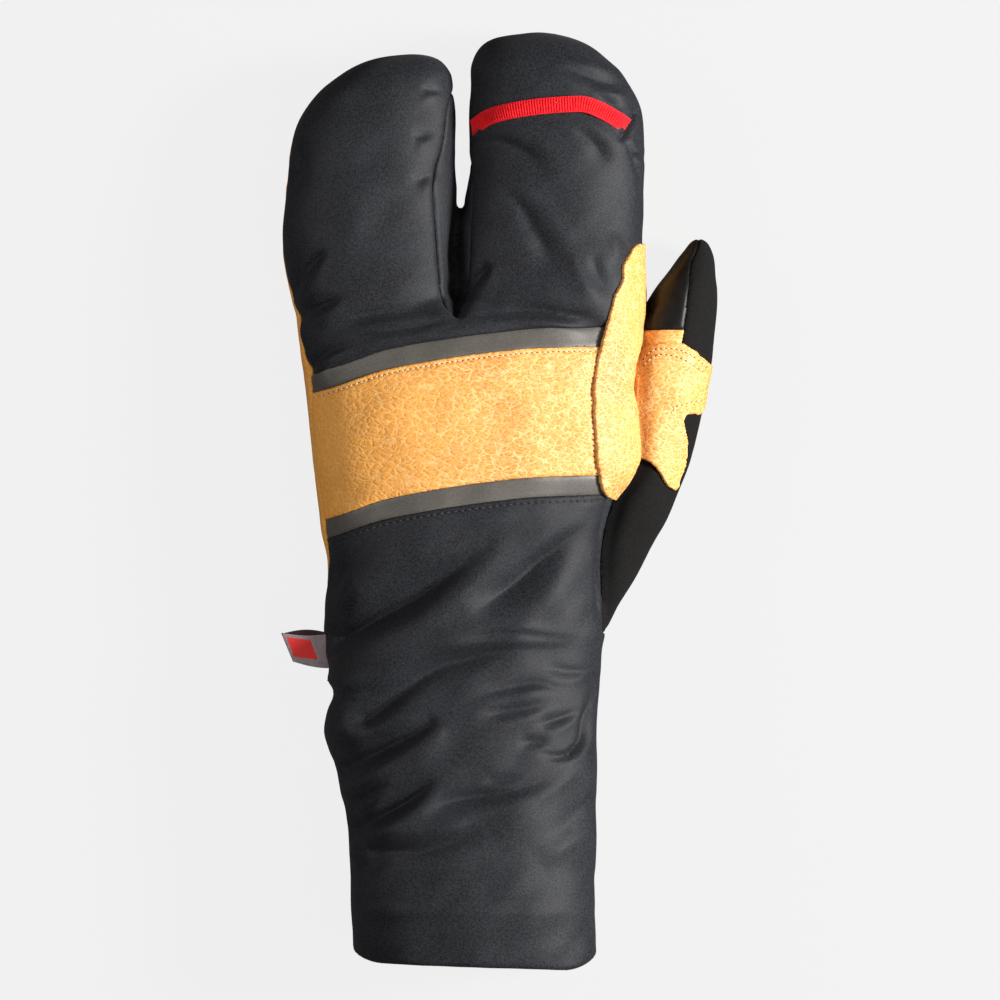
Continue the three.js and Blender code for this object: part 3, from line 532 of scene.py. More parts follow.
def creaseX(y):
    body = sectionAt(bodySections, np.minimum(y, slotY), "right")
    index = sectionAt(indexSections, np.maximum(y, slotY), "right")
    hand = np.where(y > slotY, index, body)
    thumb = sectionAt(thumbSections, y, "left")
    return np.where(thumb > hand, (thumb + hand) / 2, hand - seams["creaseInset"])


def thumbSeamX(y):
    left = sectionAt(thumbSections, y, "left")
    right = sectionAt(thumbSections, y, "right")
    share = columnAt(thumbSeamRows, "along", "share", (y - thumbY) / form["thumbLength"])
    return left + share * (right - left)


def gussetField(x, y):
    along = (y - slotY) / form["outerStallLength"]
    left = handX + columnAt(gussetRows, "along", "left", along) * handWidth / 2
    right = handX + columnAt(gussetRows, "along", "right", along) * handWidth / 2
    low = y - (slotY + gussetRows["along"][0] * form["outerStallLength"])
    high = slotY + gussetRows["along"][-1] * form["outerStallLength"] - y
    return np.minimum(np.minimum(x - left, right - x), np.minimum(low, high))


heelY = palmY + seams["heelShare"] * form["palmLength"]
thumbLowY = thumbY + seams["creaseStart"]
fields = {
    "back": lambda p: p[:, 2] - palmSeamZ(p[:, 0], p[:, 1]),
    "heel": lambda p: p[:, 1] - heelY,
    "thumb": lambda p: np.minimum(p[:, 0] - creaseX(p[:, 1]), p[:, 1] - thumbLowY),
    "band": lambda p: p[:, 1] - seamY(p[:, 0]),
    "gusset": lambda p: gussetField(p[:, 0], p[:, 1]),
    "thumbBack": lambda p: p[:, 0] - thumbSeamX(p[:, 1]),
    "web": lambda p: p[:, 1] - (thumbY + seams["webStart"] * form["thumbLength"]),
    "pad": lambda p: p[:, 1] - (thumbY + seams["padStart"] * form["thumbLength"]),
    "rim": lambda p: p[:, 1] - rimY - 0.2 - rimRise((p[:, 0] - cuffX) / (form["cuffWidth"] / 2), p[:, 1]),
}


print("form: lofting and remeshing")
bodyYs = np.append(np.arange(rimY - 7, bodySections["y"][-1], 1.5), bodySections["y"][-1])
bodyLoft = loft(bodySections, bodyYs)
outerLoft = loft(outerSections, tipRows(outerSections))
indexLoft = loft(indexSections, tipRows(indexSections))
thumbLoft = loft(thumbSections, tipRows(thumbSections))


# Unevenness of the cloth: how high it stands, and the size of its bumps
uneven = {
    "broad": 0.2, "broadSize": 26, "fine": 0.07, "fineGauntlet": 0.08, "fineSize": 11,
    "sag": 0.5, "sagSize": 15, "crease": 2.8,
    "slant": np.array([[0.5, -0.45, 0], [0.28, 0.9, 0], [0, 0, 0.5]]),
}


def folded(verts, tris, creased):
    # The cloth's folds and a little unevenness, pushed along the surface
    normals = normalsOf(verts, tris)
    top = smoothStep(-0.1, 0.5, normals[:, 2])
    height = foldHeight(verts, gauntletFolds + fingerFolds) * top
    height += softNoise(verts, uneven["broadSize"], 3) * uneven["broad"]
    fine = uneven["fine"] + uneven["fineGauntlet"] * smoothStep(8, -14, verts[:, 1])
    height += softNoise(verts @ uneven["slant"], uneven["fineSize"], 5) * fine * (0.25 + 0.75 * top)
    under = smoothStep(0.2, -0.4, normals[:, 2])
    sag = softNoise(verts * [0.5, 1.3, 1], uneven["sagSize"], 8)
    height -= np.maximum(0, sag) * uneven["sag"] * under
    if creased:
        lowY, highY = thumbLowY + 4, thumbY + 0.9 * form["thumbLength"]
        inThumb = smoothStep(lowY - 6, lowY + 6, verts[:, 1]) * smoothStep(highY, highY - 10, verts[:, 1])
        across = verts[:, 0] - creaseX(verts[:, 1])
        valley = np.exp(-(across / np.where(across > 0, 4.2, 1.8)) ** 2)
        height -= uneven["crease"] * valley * inThumb * top
    moved = verts + normals * height[:, None]
    moved[:, 2] = np.maximum(moved[:, 2], 0)
    return moved


def skinOver(*lofts, creased=True):
    # The folded skin over some of the lofts: points with their normals, and triangles
    verts, tris = remeshed(*lofts)
    verts = folded(verts, tris, creased)
    return np.hstack([verts, normalsOf(verts, tris)]), tris


skin, skinTris = skinOver(bodyLoft, outerLoft, indexLoft, thumbLoft)
hand, handTris = skinOver(bodyLoft, outerLoft, indexLoft, creased=False)
onlyThumb, onlyThumbTris = skinOver(thumbLoft)
print("form:", len(skin), "points in the whole skin")


def onlyUsed(points, tris):
    # Leaves out the points that no triangle uses
    used = np.unique(tris)
    renumber = np.zeros(len(points), np.int64)
    renumber[used] = np.arange(len(used))
    return points[used], renumber[tris]


def clipped(verts, tris, keep):
    # The part of a surface where keep is above 0, cut cleanly along its edge
    inside = keep > 0
    count = inside[tris].sum(1)
    cut = tris[(count == 1) | (count == 2)]
    within = inside[cut]
    lone = np.where(within.sum(1) == 1, within.argmax(1), (~within).argmax(1))
    row = np.arange(len(cut))
    a, b, c = (cut[row, (lone + k) % 3] for k in range(3))
    pairs = np.sort(np.concatenate([np.stack([a, b], 1), np.stack([a, c], 1)]), axis=1)
    unique, index = np.unique(pairs, axis=0, return_inverse=True)
    index = index.ravel()
    p, q = unique.T
    t = np.clip(keep[p] / (keep[p] - keep[q]), 0.04, 0.96)[:, None]
    points = verts[p] * (1 - t) + verts[q] * t
    ab = index[:len(cut)] + len(verts)
    ac = index[len(cut):] + len(verts)
    alone = inside[a]
    faces = [
        tris[count == 3],
        np.stack([a, ab, ac], 1)[alone],
        np.stack([ab, b, c], 1)[~alone],
        np.stack([ab, c, ac], 1)[~alone],
    ]
    return onlyUsed(np.concatenate([verts, points]), np.concatenate(faces))


def cutBy(verts, tris, *keeps):
    for keep in keeps:
        verts, tris = clipped(verts, tris, keep(verts))
    return verts, tris


def side(name, sign, shift=None):
    # One side of a seam, stopping short of it by half a gap
    shift = seams["gap"] / 2 if shift is None else shift
    return lambda p: sign * fields[name](p) - shift


def edgesOf(tris):
    return np.concatenate([tris[:, [0, 1]], tris[:, [1, 2]], tris[:, [2, 0]]])


def rimEdges(tris):
    # The open edges of a surface, each in the direction its triangle runs
    edges = edgesOf(tris)
    size = tris.max() + 1
    forward = edges[:, 0] * size + edges[:, 1]
    backward = edges[:, 1] * size + edges[:, 0]
    return edges[~np.isin(forward, backward)]


def rimDistance(verts, tris, reach):
    # How far each point is from the surface's open edge, up to reach
    rim = np.unique(rimEdges(tris))
    tree = KDTree(len(rim))
    for k, i in enumerate(rim):
        tree.insert(verts[i, :3], k)
    tree.balance()
    return np.array([min(tree.find(v)[2], reach) for v in verts[:, :3]])


def rolledIn(points, tris, depth, width):
    # The edge turned in towards the seam, as sewn and turned cloth is. Points carry their normals.
    q = np.clip(1 - rimDistance(points, tris, width) / width, 0, 1)
    moved = points.copy()
    moved[:, :3] -= points[:, 3:6] * (depth * (1 - np.sqrt(1 - q * q * 0.98)))[:, None]
    return moved


def lifted(points, height):
    moved = points.copy()
    moved[:, :3] += points[:, 3:6] * np.reshape(height, (-1, 1))
    moved[:, 2] = np.maximum(moved[:, 2], 0)
    return moved


def subdivided(points, tris):
    # Each triangle becomes four
    edges = np.sort(edgesOf(tris), axis=1)
    unique, index = np.unique(edges, axis=0, return_inverse=True)
    middle = index.reshape(3, -1) + len(points)
    ab, bc, ca = middle
    a, b, c = tris.T
    faces = np.concatenate([np.stack(f, 1) for f in ((a, ab, ca), (ab, b, bc), (ca, bc, c), (ab, bc, ca))])
    return np.concatenate([points, points[unique].mean(1)]), faces


def trimmed(points, tris, keepPoint):
    # Only the triangles that touch a wanted point
    return onlyUsed(points, tris[keepPoint[tris].any(1)])


def walled(name, points, tris, wall, sharp=50):
    # A surface given its thickness inwards, as a plain closed mesh
    count = len(points)
    inner = points[:, :3] - points[:, 3:6] * np.reshape(wall, (-1, 1))
    rim = rimEdges(tris)
    a, b = rim.T
    faces = np.concatenate([
        tris, tris[:, ::-1] + count,
        np.stack([b, a, a + count], 1), np.stack([b, a + count, b + count], 1)])
    mesh = meshFrom(name, np.concatenate([points[:, :3], inner]), faces)
    mesh.shade_smooth()
    mesh.set_sharp_from_angle(angle=math.radians(sharp))
    return mesh


def addPiece(name, mesh, material, replaced, slot):
    obj = bpy.data.objects.new(name, mesh)
    bpy.context.scene.collection.objects.link(obj)
    mesh.materials.clear()
    mesh.materials.append(material)
    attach(obj, "root")
    if replaced:
        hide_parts(replaced)
    return obj


# Materials
def newMaterial(name):
    material = bpy.data.materials.new(name)
    material.use_nodes = True
    return material, material.node_tree


def node(tree, kind, sockets=None, **settings):
    # A node with its settings, and each named socket linked or given its value
    made = tree.nodes.new(kind)
    for key, value in settings.items():
        setattr(made, key, value)
    for key, value in (sockets or {}).items():
        if isinstance(value, bpy.types.NodeSocket):
            tree.links.new(value, made.inputs[key])
        else:
            made.inputs[key].default_value = value
    return made


def calc(tree, operation, *values):
    return node(tree, "ShaderNodeMath", dict(enumerate(values)), operation=operation).outputs[0]


def texturePlace(tree, turn=0.0):
    coords = node(tree, "ShaderNodeTexCoord").outputs["Object"]
    return node(tree, "ShaderNodeMapping", {"Vector": coords, "Rotation": (0, 0, turn)}).outputs["Vector"]


def ramp(tree, value, *stops):
    made = node(tree, "ShaderNodeValToRGB", {"Fac": value})
    while len(made.color_ramp.elements) < len(stops):
        made.color_ramp.elements.new(0.5)
    for element, (place, colour) in zip(made.color_ramp.elements, stops):
        element.position = place
        element.color = (*colour, 1) if isinstance(colour, tuple) else (colour, colour, colour, 1)
    return made.outputs["Color"]


def blend(tree, factor, a, b, kind="MIX"):
    return node(tree, "ShaderNodeMix", {0: factor, 6: a, 7: b}, data_type="RGBA", blend_type=kind).outputs[2]


def sums(tree, *parts):
    # Adds up outputs, each with its own weight
    total = None
    for output, weight in parts:
        scaled = calc(tree, "MULTIPLY", output, weight)
        total = scaled if total is None else calc(tree, "ADD", total, scaled)
    return total


def noise(tree, place, scale, detail=3.0, roughness=0.55):
    sockets = {"Vector": place, "Scale": scale, "Detail": detail, "Roughness": roughness}
    return node(tree, "ShaderNodeTexNoise", sockets).outputs["Fac"]


def creaseDistance(tree, place, scale):
    sockets = {"Vector": place, "Scale": scale}
    return node(tree, "ShaderNodeTexVoronoi", sockets, feature="DISTANCE_TO_EDGE").outputs["Distance"]


shaderSockets = {
    "roughness": "Roughness", "specular": "Specular IOR Level", "metal": "Metallic",
    "sheen": "Sheen Weight", "sheenRoughness": "Sheen Roughness", "base": "Base Color",
    "glow": "Emission Color", "glowStrength": "Emission Strength"}


def finished(material, colour=None, relief=None, **values):
    # A material given its colour, its relief as height, depth in mm and strength, and its plain values
    tree = material.node_tree
    shader = tree.nodes["Principled BSDF"]
    if colour:
        tree.links.new(colour, shader.inputs["Base Color"])
    if relief:
        height, depth, strength = relief
        sockets = {"Height": height, "Distance": depth * metre, "Strength": strength}
        bump = node(tree, "ShaderNodeBump", sockets)
        tree.links.new(bump.outputs["Normal"], shader.inputs["Normal"])
    for key, value in values.items():
        shader.inputs[shaderSockets[key]].default_value = value
    return material


def softshellMaterial():
    cloth = {
        "dark": (0.0035, 0.0037, 0.0048), "light": (0.021, 0.022, 0.0265),
        "threads": 0.6, "turns": (0.6, -0.97)}
    material, tree = newMaterial("softshell")
    place = texturePlace(tree)
    speckle = noise(tree, place, 1500, 2)
    patches = noise(tree, place, 60)
    creases = noise(tree, place, 420, 4, 0.6)
    weave = []
    for turn in cloth["turns"]:
        bands = {"Scale": 0.314 / (cloth["threads"] * metre), "Distortion": 0.6, "Detail": 1.0}
        bands["Vector"] = texturePlace(tree, turn)
        wave = node(tree, "ShaderNodeTexWave", bands, wave_type="BANDS", bands_direction="X")
        weave.append((wave.outputs["Fac"], 0.3))
    shade = sums(tree, (speckle, 0.8), (patches, 0.2))
    colour = ramp(tree, shade, (0.36, cloth["dark"]), (0.64, cloth["light"]))
    height = sums(tree, *weave, (speckle, 0.6), (creases, 0.5))
    return finished(
        material, colour, (height, 0.13, 0.6), roughness=0.6, specular=0.24, sheen=0.04, sheenRoughness=0.5)


def leatherMaterial():
    hide = {
        "base": (0.73, 0.295, 0.05), "light": (0.8176, 0.3304, 0.056), "deep": (0.58, 0.21, 0.03),
        "pale": (0.9, 0.59, 0.26, 1),
        # the next colour and its reach are painted light, a brighter orange over the little finger's end
        "paintedLight": (1.0, 0.4, 0.03, 1), "paintedLightFrom": -2, "paintedLightTo": -66, "paintedLightMost": 0.55,
        "cell": 2.2, "fine": 1.05, "relief": 0.26, "warp": 1.8, "stretch": (0.56, 1.2, 1), "slant": 0.12}
    material, tree = newMaterial("tanLeather")
    place = texturePlace(tree)
    warp = node(tree, "ShaderNodeTexNoise", {"Vector": place, "Scale": 260, "Detail": 3}).outputs["Color"]
    shift = node(tree, "ShaderNodeVectorMath", {0: warp, "Scale": hide["warp"] * metre}, operation="SCALE")
    warped = node(tree, "ShaderNodeVectorMath", {0: place, 1: shift.outputs[0]}, operation="ADD").outputs[0]
    drawn = {"Vector": warped, "Scale": hide["stretch"], "Rotation": (0, 0, hide["slant"])}
    drawn = node(tree, "ShaderNodeMapping", drawn).outputs["Vector"]
    wide, fine = (creaseDistance(tree, drawn, 1 / (hide[size] * metre)) for size in ("cell", "fine"))
    worn = ramp(tree, noise(tree, place, 330, 4, 0.65), (0.38, 0.2), (0.58, 1))
    tone = noise(tree, place, 38, 4)
    ground = ramp(tree, tone, (0.3, hide["deep"]), (0.5, hide["base"]), (0.75, hide["light"]))
    fineLines = blend(tree, 1.0, ramp(tree, fine, (0.0, 1), (0.14, 0)), (0.55, 0.55, 0.55, 1), "MULTIPLY")
    wideLines = blend(tree, 1.0, ramp(tree, wide, (0.02, 1), (0.1, 0)), worn, "MULTIPLY")
    wideLines = blend(tree, 1.0, wideLines, (0.8, 0.8, 0.8, 1), "MULTIPLY")
    creased = blend(tree, wideLines, blend(tree, fineLines, ground, hide["pale"]), hide["pale"])
    # Painted light: towards the little finger's side the leather is blended into a brighter, richer orange,
    # standing in for light on that end of the band
    across = node(tree, "ShaderNodeSeparateXYZ", {0: place}).outputs["X"]
    reach = {"Value": across, "From Min": hide["paintedLightFrom"] * metre, "From Max": hide["paintedLightTo"] * metre}
    reach["To Max"] = hide["paintedLightMost"]
    edge = node(tree, "ShaderNodeMapRange", reach, interpolation_type="SMOOTHSTEP").outputs["Result"]
    colour = blend(tree, edge, creased, hide["paintedLight"])  # painted light: brighter towards the little finger's end
    grain = noise(tree, place, 1500)
    cells = (ramp(tree, wide, (0.0, 0), (0.22, 1)), 0.7), (ramp(tree, fine, (0.0, 0), (0.3, 1)), 0.35)
    height = sums(tree, *cells, (grain, 0.3))
    return finished(material, colour, (height, hide["relief"], 0.6), roughness=0.55, specular=0.4)


def tapeMaterial():
    material, tree = newMaterial("greyTape")
    place = texturePlace(tree)
    tone = sums(tree, (noise(tree, place, 2200, 2), 0.7), (noise(tree, place, 160), 0.3))
    colour = ramp(tree, tone, (0.35, (0.072, 0.064, 0.054)), (0.65, (0.12, 0.108, 0.093)))
    relief = (noise(tree, place, 1800, 2), 0.05, 0.5)
    return finished(material, colour, relief, roughness=0.5, metal=0.2, specular=0.5)


def suedeMaterial():
    material, tree = newMaterial("matteBlack")
    place = texturePlace(tree)
    nap = noise(tree, place, 1900, 4, 0.65)
    colour = ramp(tree, nap, (0.35, (0.0045, 0.004, 0.0038)), (0.7, (0.012, 0.0115, 0.011)))
    relief = (sums(tree, (nap, 0.6), (noise(tree, place, 300), 0.5)), 0.12, 0.5)
    return finished(material, colour, relief, roughness=0.85, specular=0.1, sheen=0.02)


def glossMaterial():
    material, tree = newMaterial("glossBlack")
    place = texturePlace(tree)
    wrinkles = noise(tree, place, 260, 4, 0.6)
    colour = ramp(tree, wrinkles, (0.3, (0.004, 0.0035, 0.003)), (0.7, (0.009, 0.008, 0.007)))
    height = sums(tree, (creaseDistance(tree, place, 1100), 0.6), (wrinkles, 0.8))
    return finished(material, colour, (height, 0.12, 0.5), roughness=0.43, specular=0.22)


def threadMaterial(name, dark, light):
    material, tree = newMaterial(name)
    twist = noise(tree, texturePlace(tree), 4200, 2)
    colour = ramp(tree, twist, (0.35, dark), (0.65, light))
    return finished(material, colour, (twist, 0.08, 0.6), roughness=0.7)


def ribbonMaterial():
    material, tree = newMaterial("redRibbon")
    place = texturePlace(tree)
    colour = ramp(tree, noise(tree, place, 700), (0.3, (0.72, 0.008, 0.014)), (0.7, (0.9, 0.02, 0.028)))
    return finished(material, colour, (noise(tree, place, 3000, 2), 0.06, 0.4), roughness=0.75, specular=0.15)


softshell = softshellMaterial()
tanLeather = leatherMaterial()
greyTape = tapeMaterial()
matteBlack = suedeMaterial()
glossBlack = glossMaterial()
redRibbon = ribbonMaterial()
creamThread = threadMaterial("creamThread", (0.6, 0.36, 0.15), (0.86, 0.62, 0.36))
# Dark brown: painted shade for the needle holes, and also the colour of the short stitches along the wrap's
# edge
holeBrown = threadMaterial("holeBrown", (0.11, 0.035, 0.008), (0.2, 0.07, 0.02))
blackThread = threadMaterial("blackThread", (0.005, 0.005, 0.006), (0.016, 0.016, 0.018))


# Panels: which side of which seams each keeps, how its edge turns in, and how thick it is
bandTop = seams["stripWidth"] + seams["bandWidth"]
stripTop = bandTop + seams["stripWidth"]


def above(offset):
    return lambda p: fields["band"](p) - offset - seams["gap"] / 2


def below(offset):
    return lambda p: offset - fields["band"](p) - seams["gap"] / 2


onHand = side("thumb", -1)
onBack = side("back", 1)
aroundWrist = lambda p: np.maximum(fields["back"](p), -fields["heel"](p)) - seams["gap"] / 2
underHand = lambda p: np.minimum(-fields["back"](p), fields["heel"](p)) - seams["gap"] / 2
panels = {
    "fingerShell": {
        "node": "finger_shell", "slot": "softshell", "material": softshell, "wall": 3.6, "lift": 0,
        "keeps": [onHand, onBack, above(stripTop), side("gusset", -1)], "roll": (1.3, 3.2)},
    "slotGusset": {
        "node": "slot_gusset", "slot": "softshell", "material": softshell, "wall": 3.0, "lift": -0.5,
        "keeps": [onHand, onBack, side("gusset", 1)], "roll": (0.7, 1.8)},
    "upperStrip": {
        "node": "upper_strip", "slot": "grey_tape", "material": greyTape, "wall": 3.0, "lift": -0.75,
        "keeps": [onHand, onBack, above(bandTop), below(stripTop)], "roll": (0.2, 0.8)},
    "knuckleBand": {
        "node": "knuckle_band", "slot": "tan_leather", "material": tanLeather, "wall": 3.6, "lift": 0.1,
        "keeps": [onHand, onBack, above(seams["stripWidth"]), below(bandTop)], "roll": (0.8, 1.6),
        "fine": True, "grooves": [(bandTop - 1.7, 0.45, 0.5)]},
    "lowerStrip": {
        "node": "lower_strip", "slot": "grey_tape", "material": greyTape, "wall": 3.0, "lift": -0.75,
        "keeps": [onHand, onBack, above(0), below(seams["stripWidth"])], "roll": (0.2, 0.8)},
    "gauntletShell": {
        "node": "gauntlet", "slot": "softshell", "material": softshell, "wall": 3.8, "lift": 0,
        "keeps": [onHand, aroundWrist, below(0), side("rim", 1, 0)], "roll": (1.0, 1.6),
        "grooves": [(-1.7, 0.4, 0.9)]},
    "palmLeather": {
        "node": "palm", "slot": "tan_leather", "material": tanLeather, "wall": 3.4, "lift": 0.1,
        "keeps": [onHand, underHand], "roll": (0.9, 2.0)},
    "thumbBack": {
        "node": "thumb_back", "slot": "matte_black", "material": matteBlack, "wall": 2.6, "lift": 0,
        "keeps": [side("thumb", 1), lambda p: np.maximum(fields["thumbBack"](p), -fields["web"](p)) - 0.06],
        "roll": (0.6, 1.6)},
    "thumbWeb": {
        "node": "thumb_web", "slot": "tan_leather", "material": tanLeather, "wall": 2.6, "lift": 0.2,
        "keeps": [side("thumb", 1), side("thumbBack", -1), side("web", 1), side("pad", -1)],
        "roll": (0.6, 1.4)},
    "thumbPad": {
        "node": "thumb_pad", "slot": "gloss_black", "material": glossBlack, "wall": 2.6, "lift": 0,
        "keeps": [side("thumb", 1), side("thumbBack", -1), side("pad", 1)], "roll": (0.6, 1.6)},
}
covers = []
for name, panel in panels.items():
    points, tris = cutBy(skin, skinTris, *panel["keeps"])
    if panel.get("fine"):
        points, tris = subdivided(points, tris)
    groove = 0
    for place, depth, width in panel.get("grooves", []):
        groove = groove - depth * np.exp(-((fields["band"](points) - place) / width) ** 2)
    points = lifted(rolledIn(points, tris, *panel["roll"]), panel["lift"] + groove + np.zeros(len(points)))
    covers.append((points[:, :3], tris))
    mesh = walled(name, points, tris, panel["wall"])
    piece = addPiece(name, mesh, panel["material"], panel["node"], panel["slot"])
    print("panel", name, len(piece.data.polygons))


# Leather laid over the others, with raw edges
def outlineField(points, outline, ragged, seed):
    # Distance to a closed outline seen from above, above 0 inside, with a ragged edge
    path = np.array(outline)
    after = np.roll(path, -1, axis=0)
    flat = points[:, :2]
    near = np.full(len(points), 1e9)
    inside = np.zeros(len(points), bool)
    for p, q in zip(path, after):
        way = q - p
        t = np.clip(((flat - p) @ way) / (way @ way), 0, 1)
        near = np.minimum(near, np.hypot(*(flat - p - t[:, None] * way).T))
        crosses = (p[1] > flat[:, 1]) != (q[1] > flat[:, 1])
        rise = q[1] - p[1] if q[1] != p[1] else 1e-9
        inside ^= crosses & (flat[:, 0] < p[0] + (flat[:, 1] - p[1]) / rise * way[0])
    edge = softNoise(points[:, :3], 6, seed) * ragged + softNoise(points[:, :3], 0.9, seed + 1) * ragged * 0.6
    return np.where(inside, near, -near) + edge


overlays = {
    "indexWrap": {
        "node": "index_wrap", "slot": "tan_leather", "wall": 1.5, "lift": 1.7, "roll": (0.45, 0.45),
        "low": [(12, 30, 38, 46, 54, 62), (36, 36, 38.5, 36.5, 30, 15.6)],
        "surface": (hand, handTris), "ragged": 0.13, "outline": [
            (48.3, 87.0), (46.4, 86.7), (44.5, 85.3), (42.8, 82.3), (41.5, 79.6), (41.3, 75.1), (38.6, 69.2),
            (37.1, 63.9), (36.0, 58.8), (34.3, 53.7), (33.0, 49.0), (31.8, 41.8), (31.3, 36.7), (31.6, 30.3),
            (32.0, 20.4), (32.6, 11.9), (34.0, 4.8), (35.7, 1.5), (38.6, 0.0), (40.5, 1.0), (43.2, 5.4),
            (45.8, 11.2), (47.9, 15.5), (56, 16), (56, 86)]},
    "crotchPatch": {
        "node": "crotch_patch", "slot": "tan_leather", "wall": 1.4, "lift": 1.5, "roll": (0.4, 0.4),
        "low": [(0, 60), (20.5, 20.5)],
        "surface": (onlyThumb, onlyThumbTris), "ragged": 0.13, "outline": [
            (46.5, 50.5), (49.3, 51.8), (51.6, 52.4), (56.8, 53.2), (62.0, 52.9), (66.0, 50.3), (68.5, 48.4),
            (71.7, 45.8), (72.2, 43.2), (71.1, 38.6), (70.2, 34.7), (68.9, 30.8), (66.9, 29.2), (65.3, 29.5),
            (63.0, 29.0), (62.0, 26.9), (62.0, 24.3), (63.2, 19.7), (63.2, 15.2), (61.7, 10.6), (60.1, 4.8),
            (58.8, 3.8), (56.8, 4.8), (54.9, 8.0), (52.9, 10.6), (50.3, 13.3), (46.5, 15.5)]},
}
for seed, (name, overlay) in enumerate(overlays.items()):
    points, tris = overlay["surface"]
    outline = overlay["outline"]
    points, tris = trimmed(points, tris, outlineField(points, outline, 0, seed) > -3)
    points, tris = trimmed(points, tris, points[:, 2] > np.interp(points[:, 1], *overlay["low"]) - 3)
    points, tris = subdivided(points, tris)
    above = points[:, 2] - np.interp(points[:, 1], *overlay["low"])
    field = np.minimum(outlineField(points, outline, overlay["ragged"], seed), above)
    points, tris = clipped(points, tris, field)
    points[:, 3:6] /= np.linalg.norm(points[:, 3:6], axis=1, keepdims=True)
    cling = 0.6 + 0.4 * np.maximum(points[:, 5], 0)
    lift = overlay["lift"] + softNoise(points[:, :3], 11, seed + 7) * 0.16
    points = lifted(rolledIn(points, tris, *overlay["roll"]), lift * cling)
    covers.append((points[:, :3], tris))
    mesh = walled(name, points, tris, overlay["wall"] * cling)
    piece = addPiece(name, mesh, tanLeather, overlay["node"], overlay["slot"])
    print("overlay", name, len(piece.data.polygons))


coverVerts, coverTris = joined(covers)
coverTree = BVHTree.FromPolygons(coverVerts.tolist(), coverTris.tolist())


def onTop(x, y):
    # The mitt's topmost place under a point seen from above, and the surface's normal there
    place, normal, _, _ = coverTree.ray_cast(Vector((x, y, 200)), Vector((0, 0, -1)))
    if place is None:
        return None, None
    return np.array(place), np.array(normal)


# Pull ribbon over the index stall, ribbed across
ribbon = {"thickness": 0.7, "lift": 0.5, "rise": 1.3, "pitch": 0.92, "rib": 0.4, "steps": 180, "across": 9,
          "path": [(-9.3, 125.9), (-7.6, 127.6), (-3.6, 130), (3.3, 131.8), (12.9, 133.2), (21.6, 133.9),
                   (28.5, 134), (33.7, 132.3), (38.5, 129.8), (43.2, 126.9)],
          "width": 5.4}


def ribbonGrid():
    middle = splinePoints(ribbon["path"], ribbon["steps"])
    way = np.gradient(middle, axis=0)
    way /= np.linalg.norm(way, axis=1, keepdims=True)
    aside = np.stack([-way[:, 1], way[:, 0]], 1)
    rows = []
    for k, share in enumerate(np.linspace(-0.5, 0.5, ribbon["across"])):
        rows.append(middle + aside * share * ribbon["width"])
    grid = np.stack(rows, 1)
    firstRow = np.array([[-9.3, y] for y in np.linspace(123.2, 128.6, ribbon["across"])])
    for i in range(16):
        keep = smoothStep(0, 1, i / 16)
        grid[i] = firstRow * (1 - keep) + grid[i] * keep
    heights = np.full(grid.shape[:2], np.nan)
    for i, row in enumerate(grid):
        for j, (x, y) in enumerate(row):
            place, _ = onTop(x, y)
            if place is not None:
                heights[i, j] = place[2]
    centre = np.nanmean(heights, axis=1)
    known = ~np.isnan(centre)
    steps = np.arange(len(centre))
    centre = np.interp(steps, steps[known], centre[known])
    kernel = np.hanning(31)
    padded = np.pad(centre, 15, mode="edge")
    smooth = np.convolve(padded, kernel / kernel.sum(), mode="valid")
    tilt = np.zeros(len(centre))
    for i in range(len(centre)):
        if not np.isnan(heights[i, [1, -2]]).any():
            tilt[i] = heights[i, -2] - heights[i, 1]
    tilt = np.convolve(np.pad(tilt, 15, mode="edge"), kernel / kernel.sum(), mode="valid")
    share = np.linspace(0, 1, ribbon["steps"])
    bow = ribbon["rise"] * np.exp(-((share - 0.62) / 0.24) ** 2)
    across = np.linspace(-0.5, 0.5, ribbon["across"])[None]
    ends = -1.8 * (1 - smoothStep(0, 0.06, share)) - 1.6 * smoothStep(0.96, 1, share)
    z = smooth[:, None] + tilt[:, None] * across + ribbon["lift"] + (bow + ends)[:, None]
    return np.dstack([grid, z])


def stripMesh(name, top, thickness):
    # A closed strip from a grid of points on its upper face
    rows, columns, _ = top.shape
    along = np.gradient(top, axis=0)
    across = np.gradient(top, axis=1)
    normal = np.cross(along, across)
    normal /= np.linalg.norm(normal, axis=2, keepdims=True)
    normal *= np.sign(normal[:, :columns // 3, 2].mean())
    points = np.hstack([top.reshape(-1, 3), normal.reshape(-1, 3)])
    i = np.arange(rows - 1)[:, None] * columns
    j = np.arange(columns - 1)[None]
    a, b, c, d = i + j, i + j + 1, i + columns + j + 1, i + columns + j
    tris = np.concatenate([np.stack([a, b, c], 2).reshape(-1, 3), np.stack([a, c, d], 2).reshape(-1, 3)])
    corner = points[tris[0], :3]
    facing = np.cross(corner[1] - corner[0], corner[2] - corner[0])
    if facing @ points[tris[0][0], 3:6] < 0:
        tris = tris[:, ::-1]
    return walled(name, points, tris, thickness, 40)


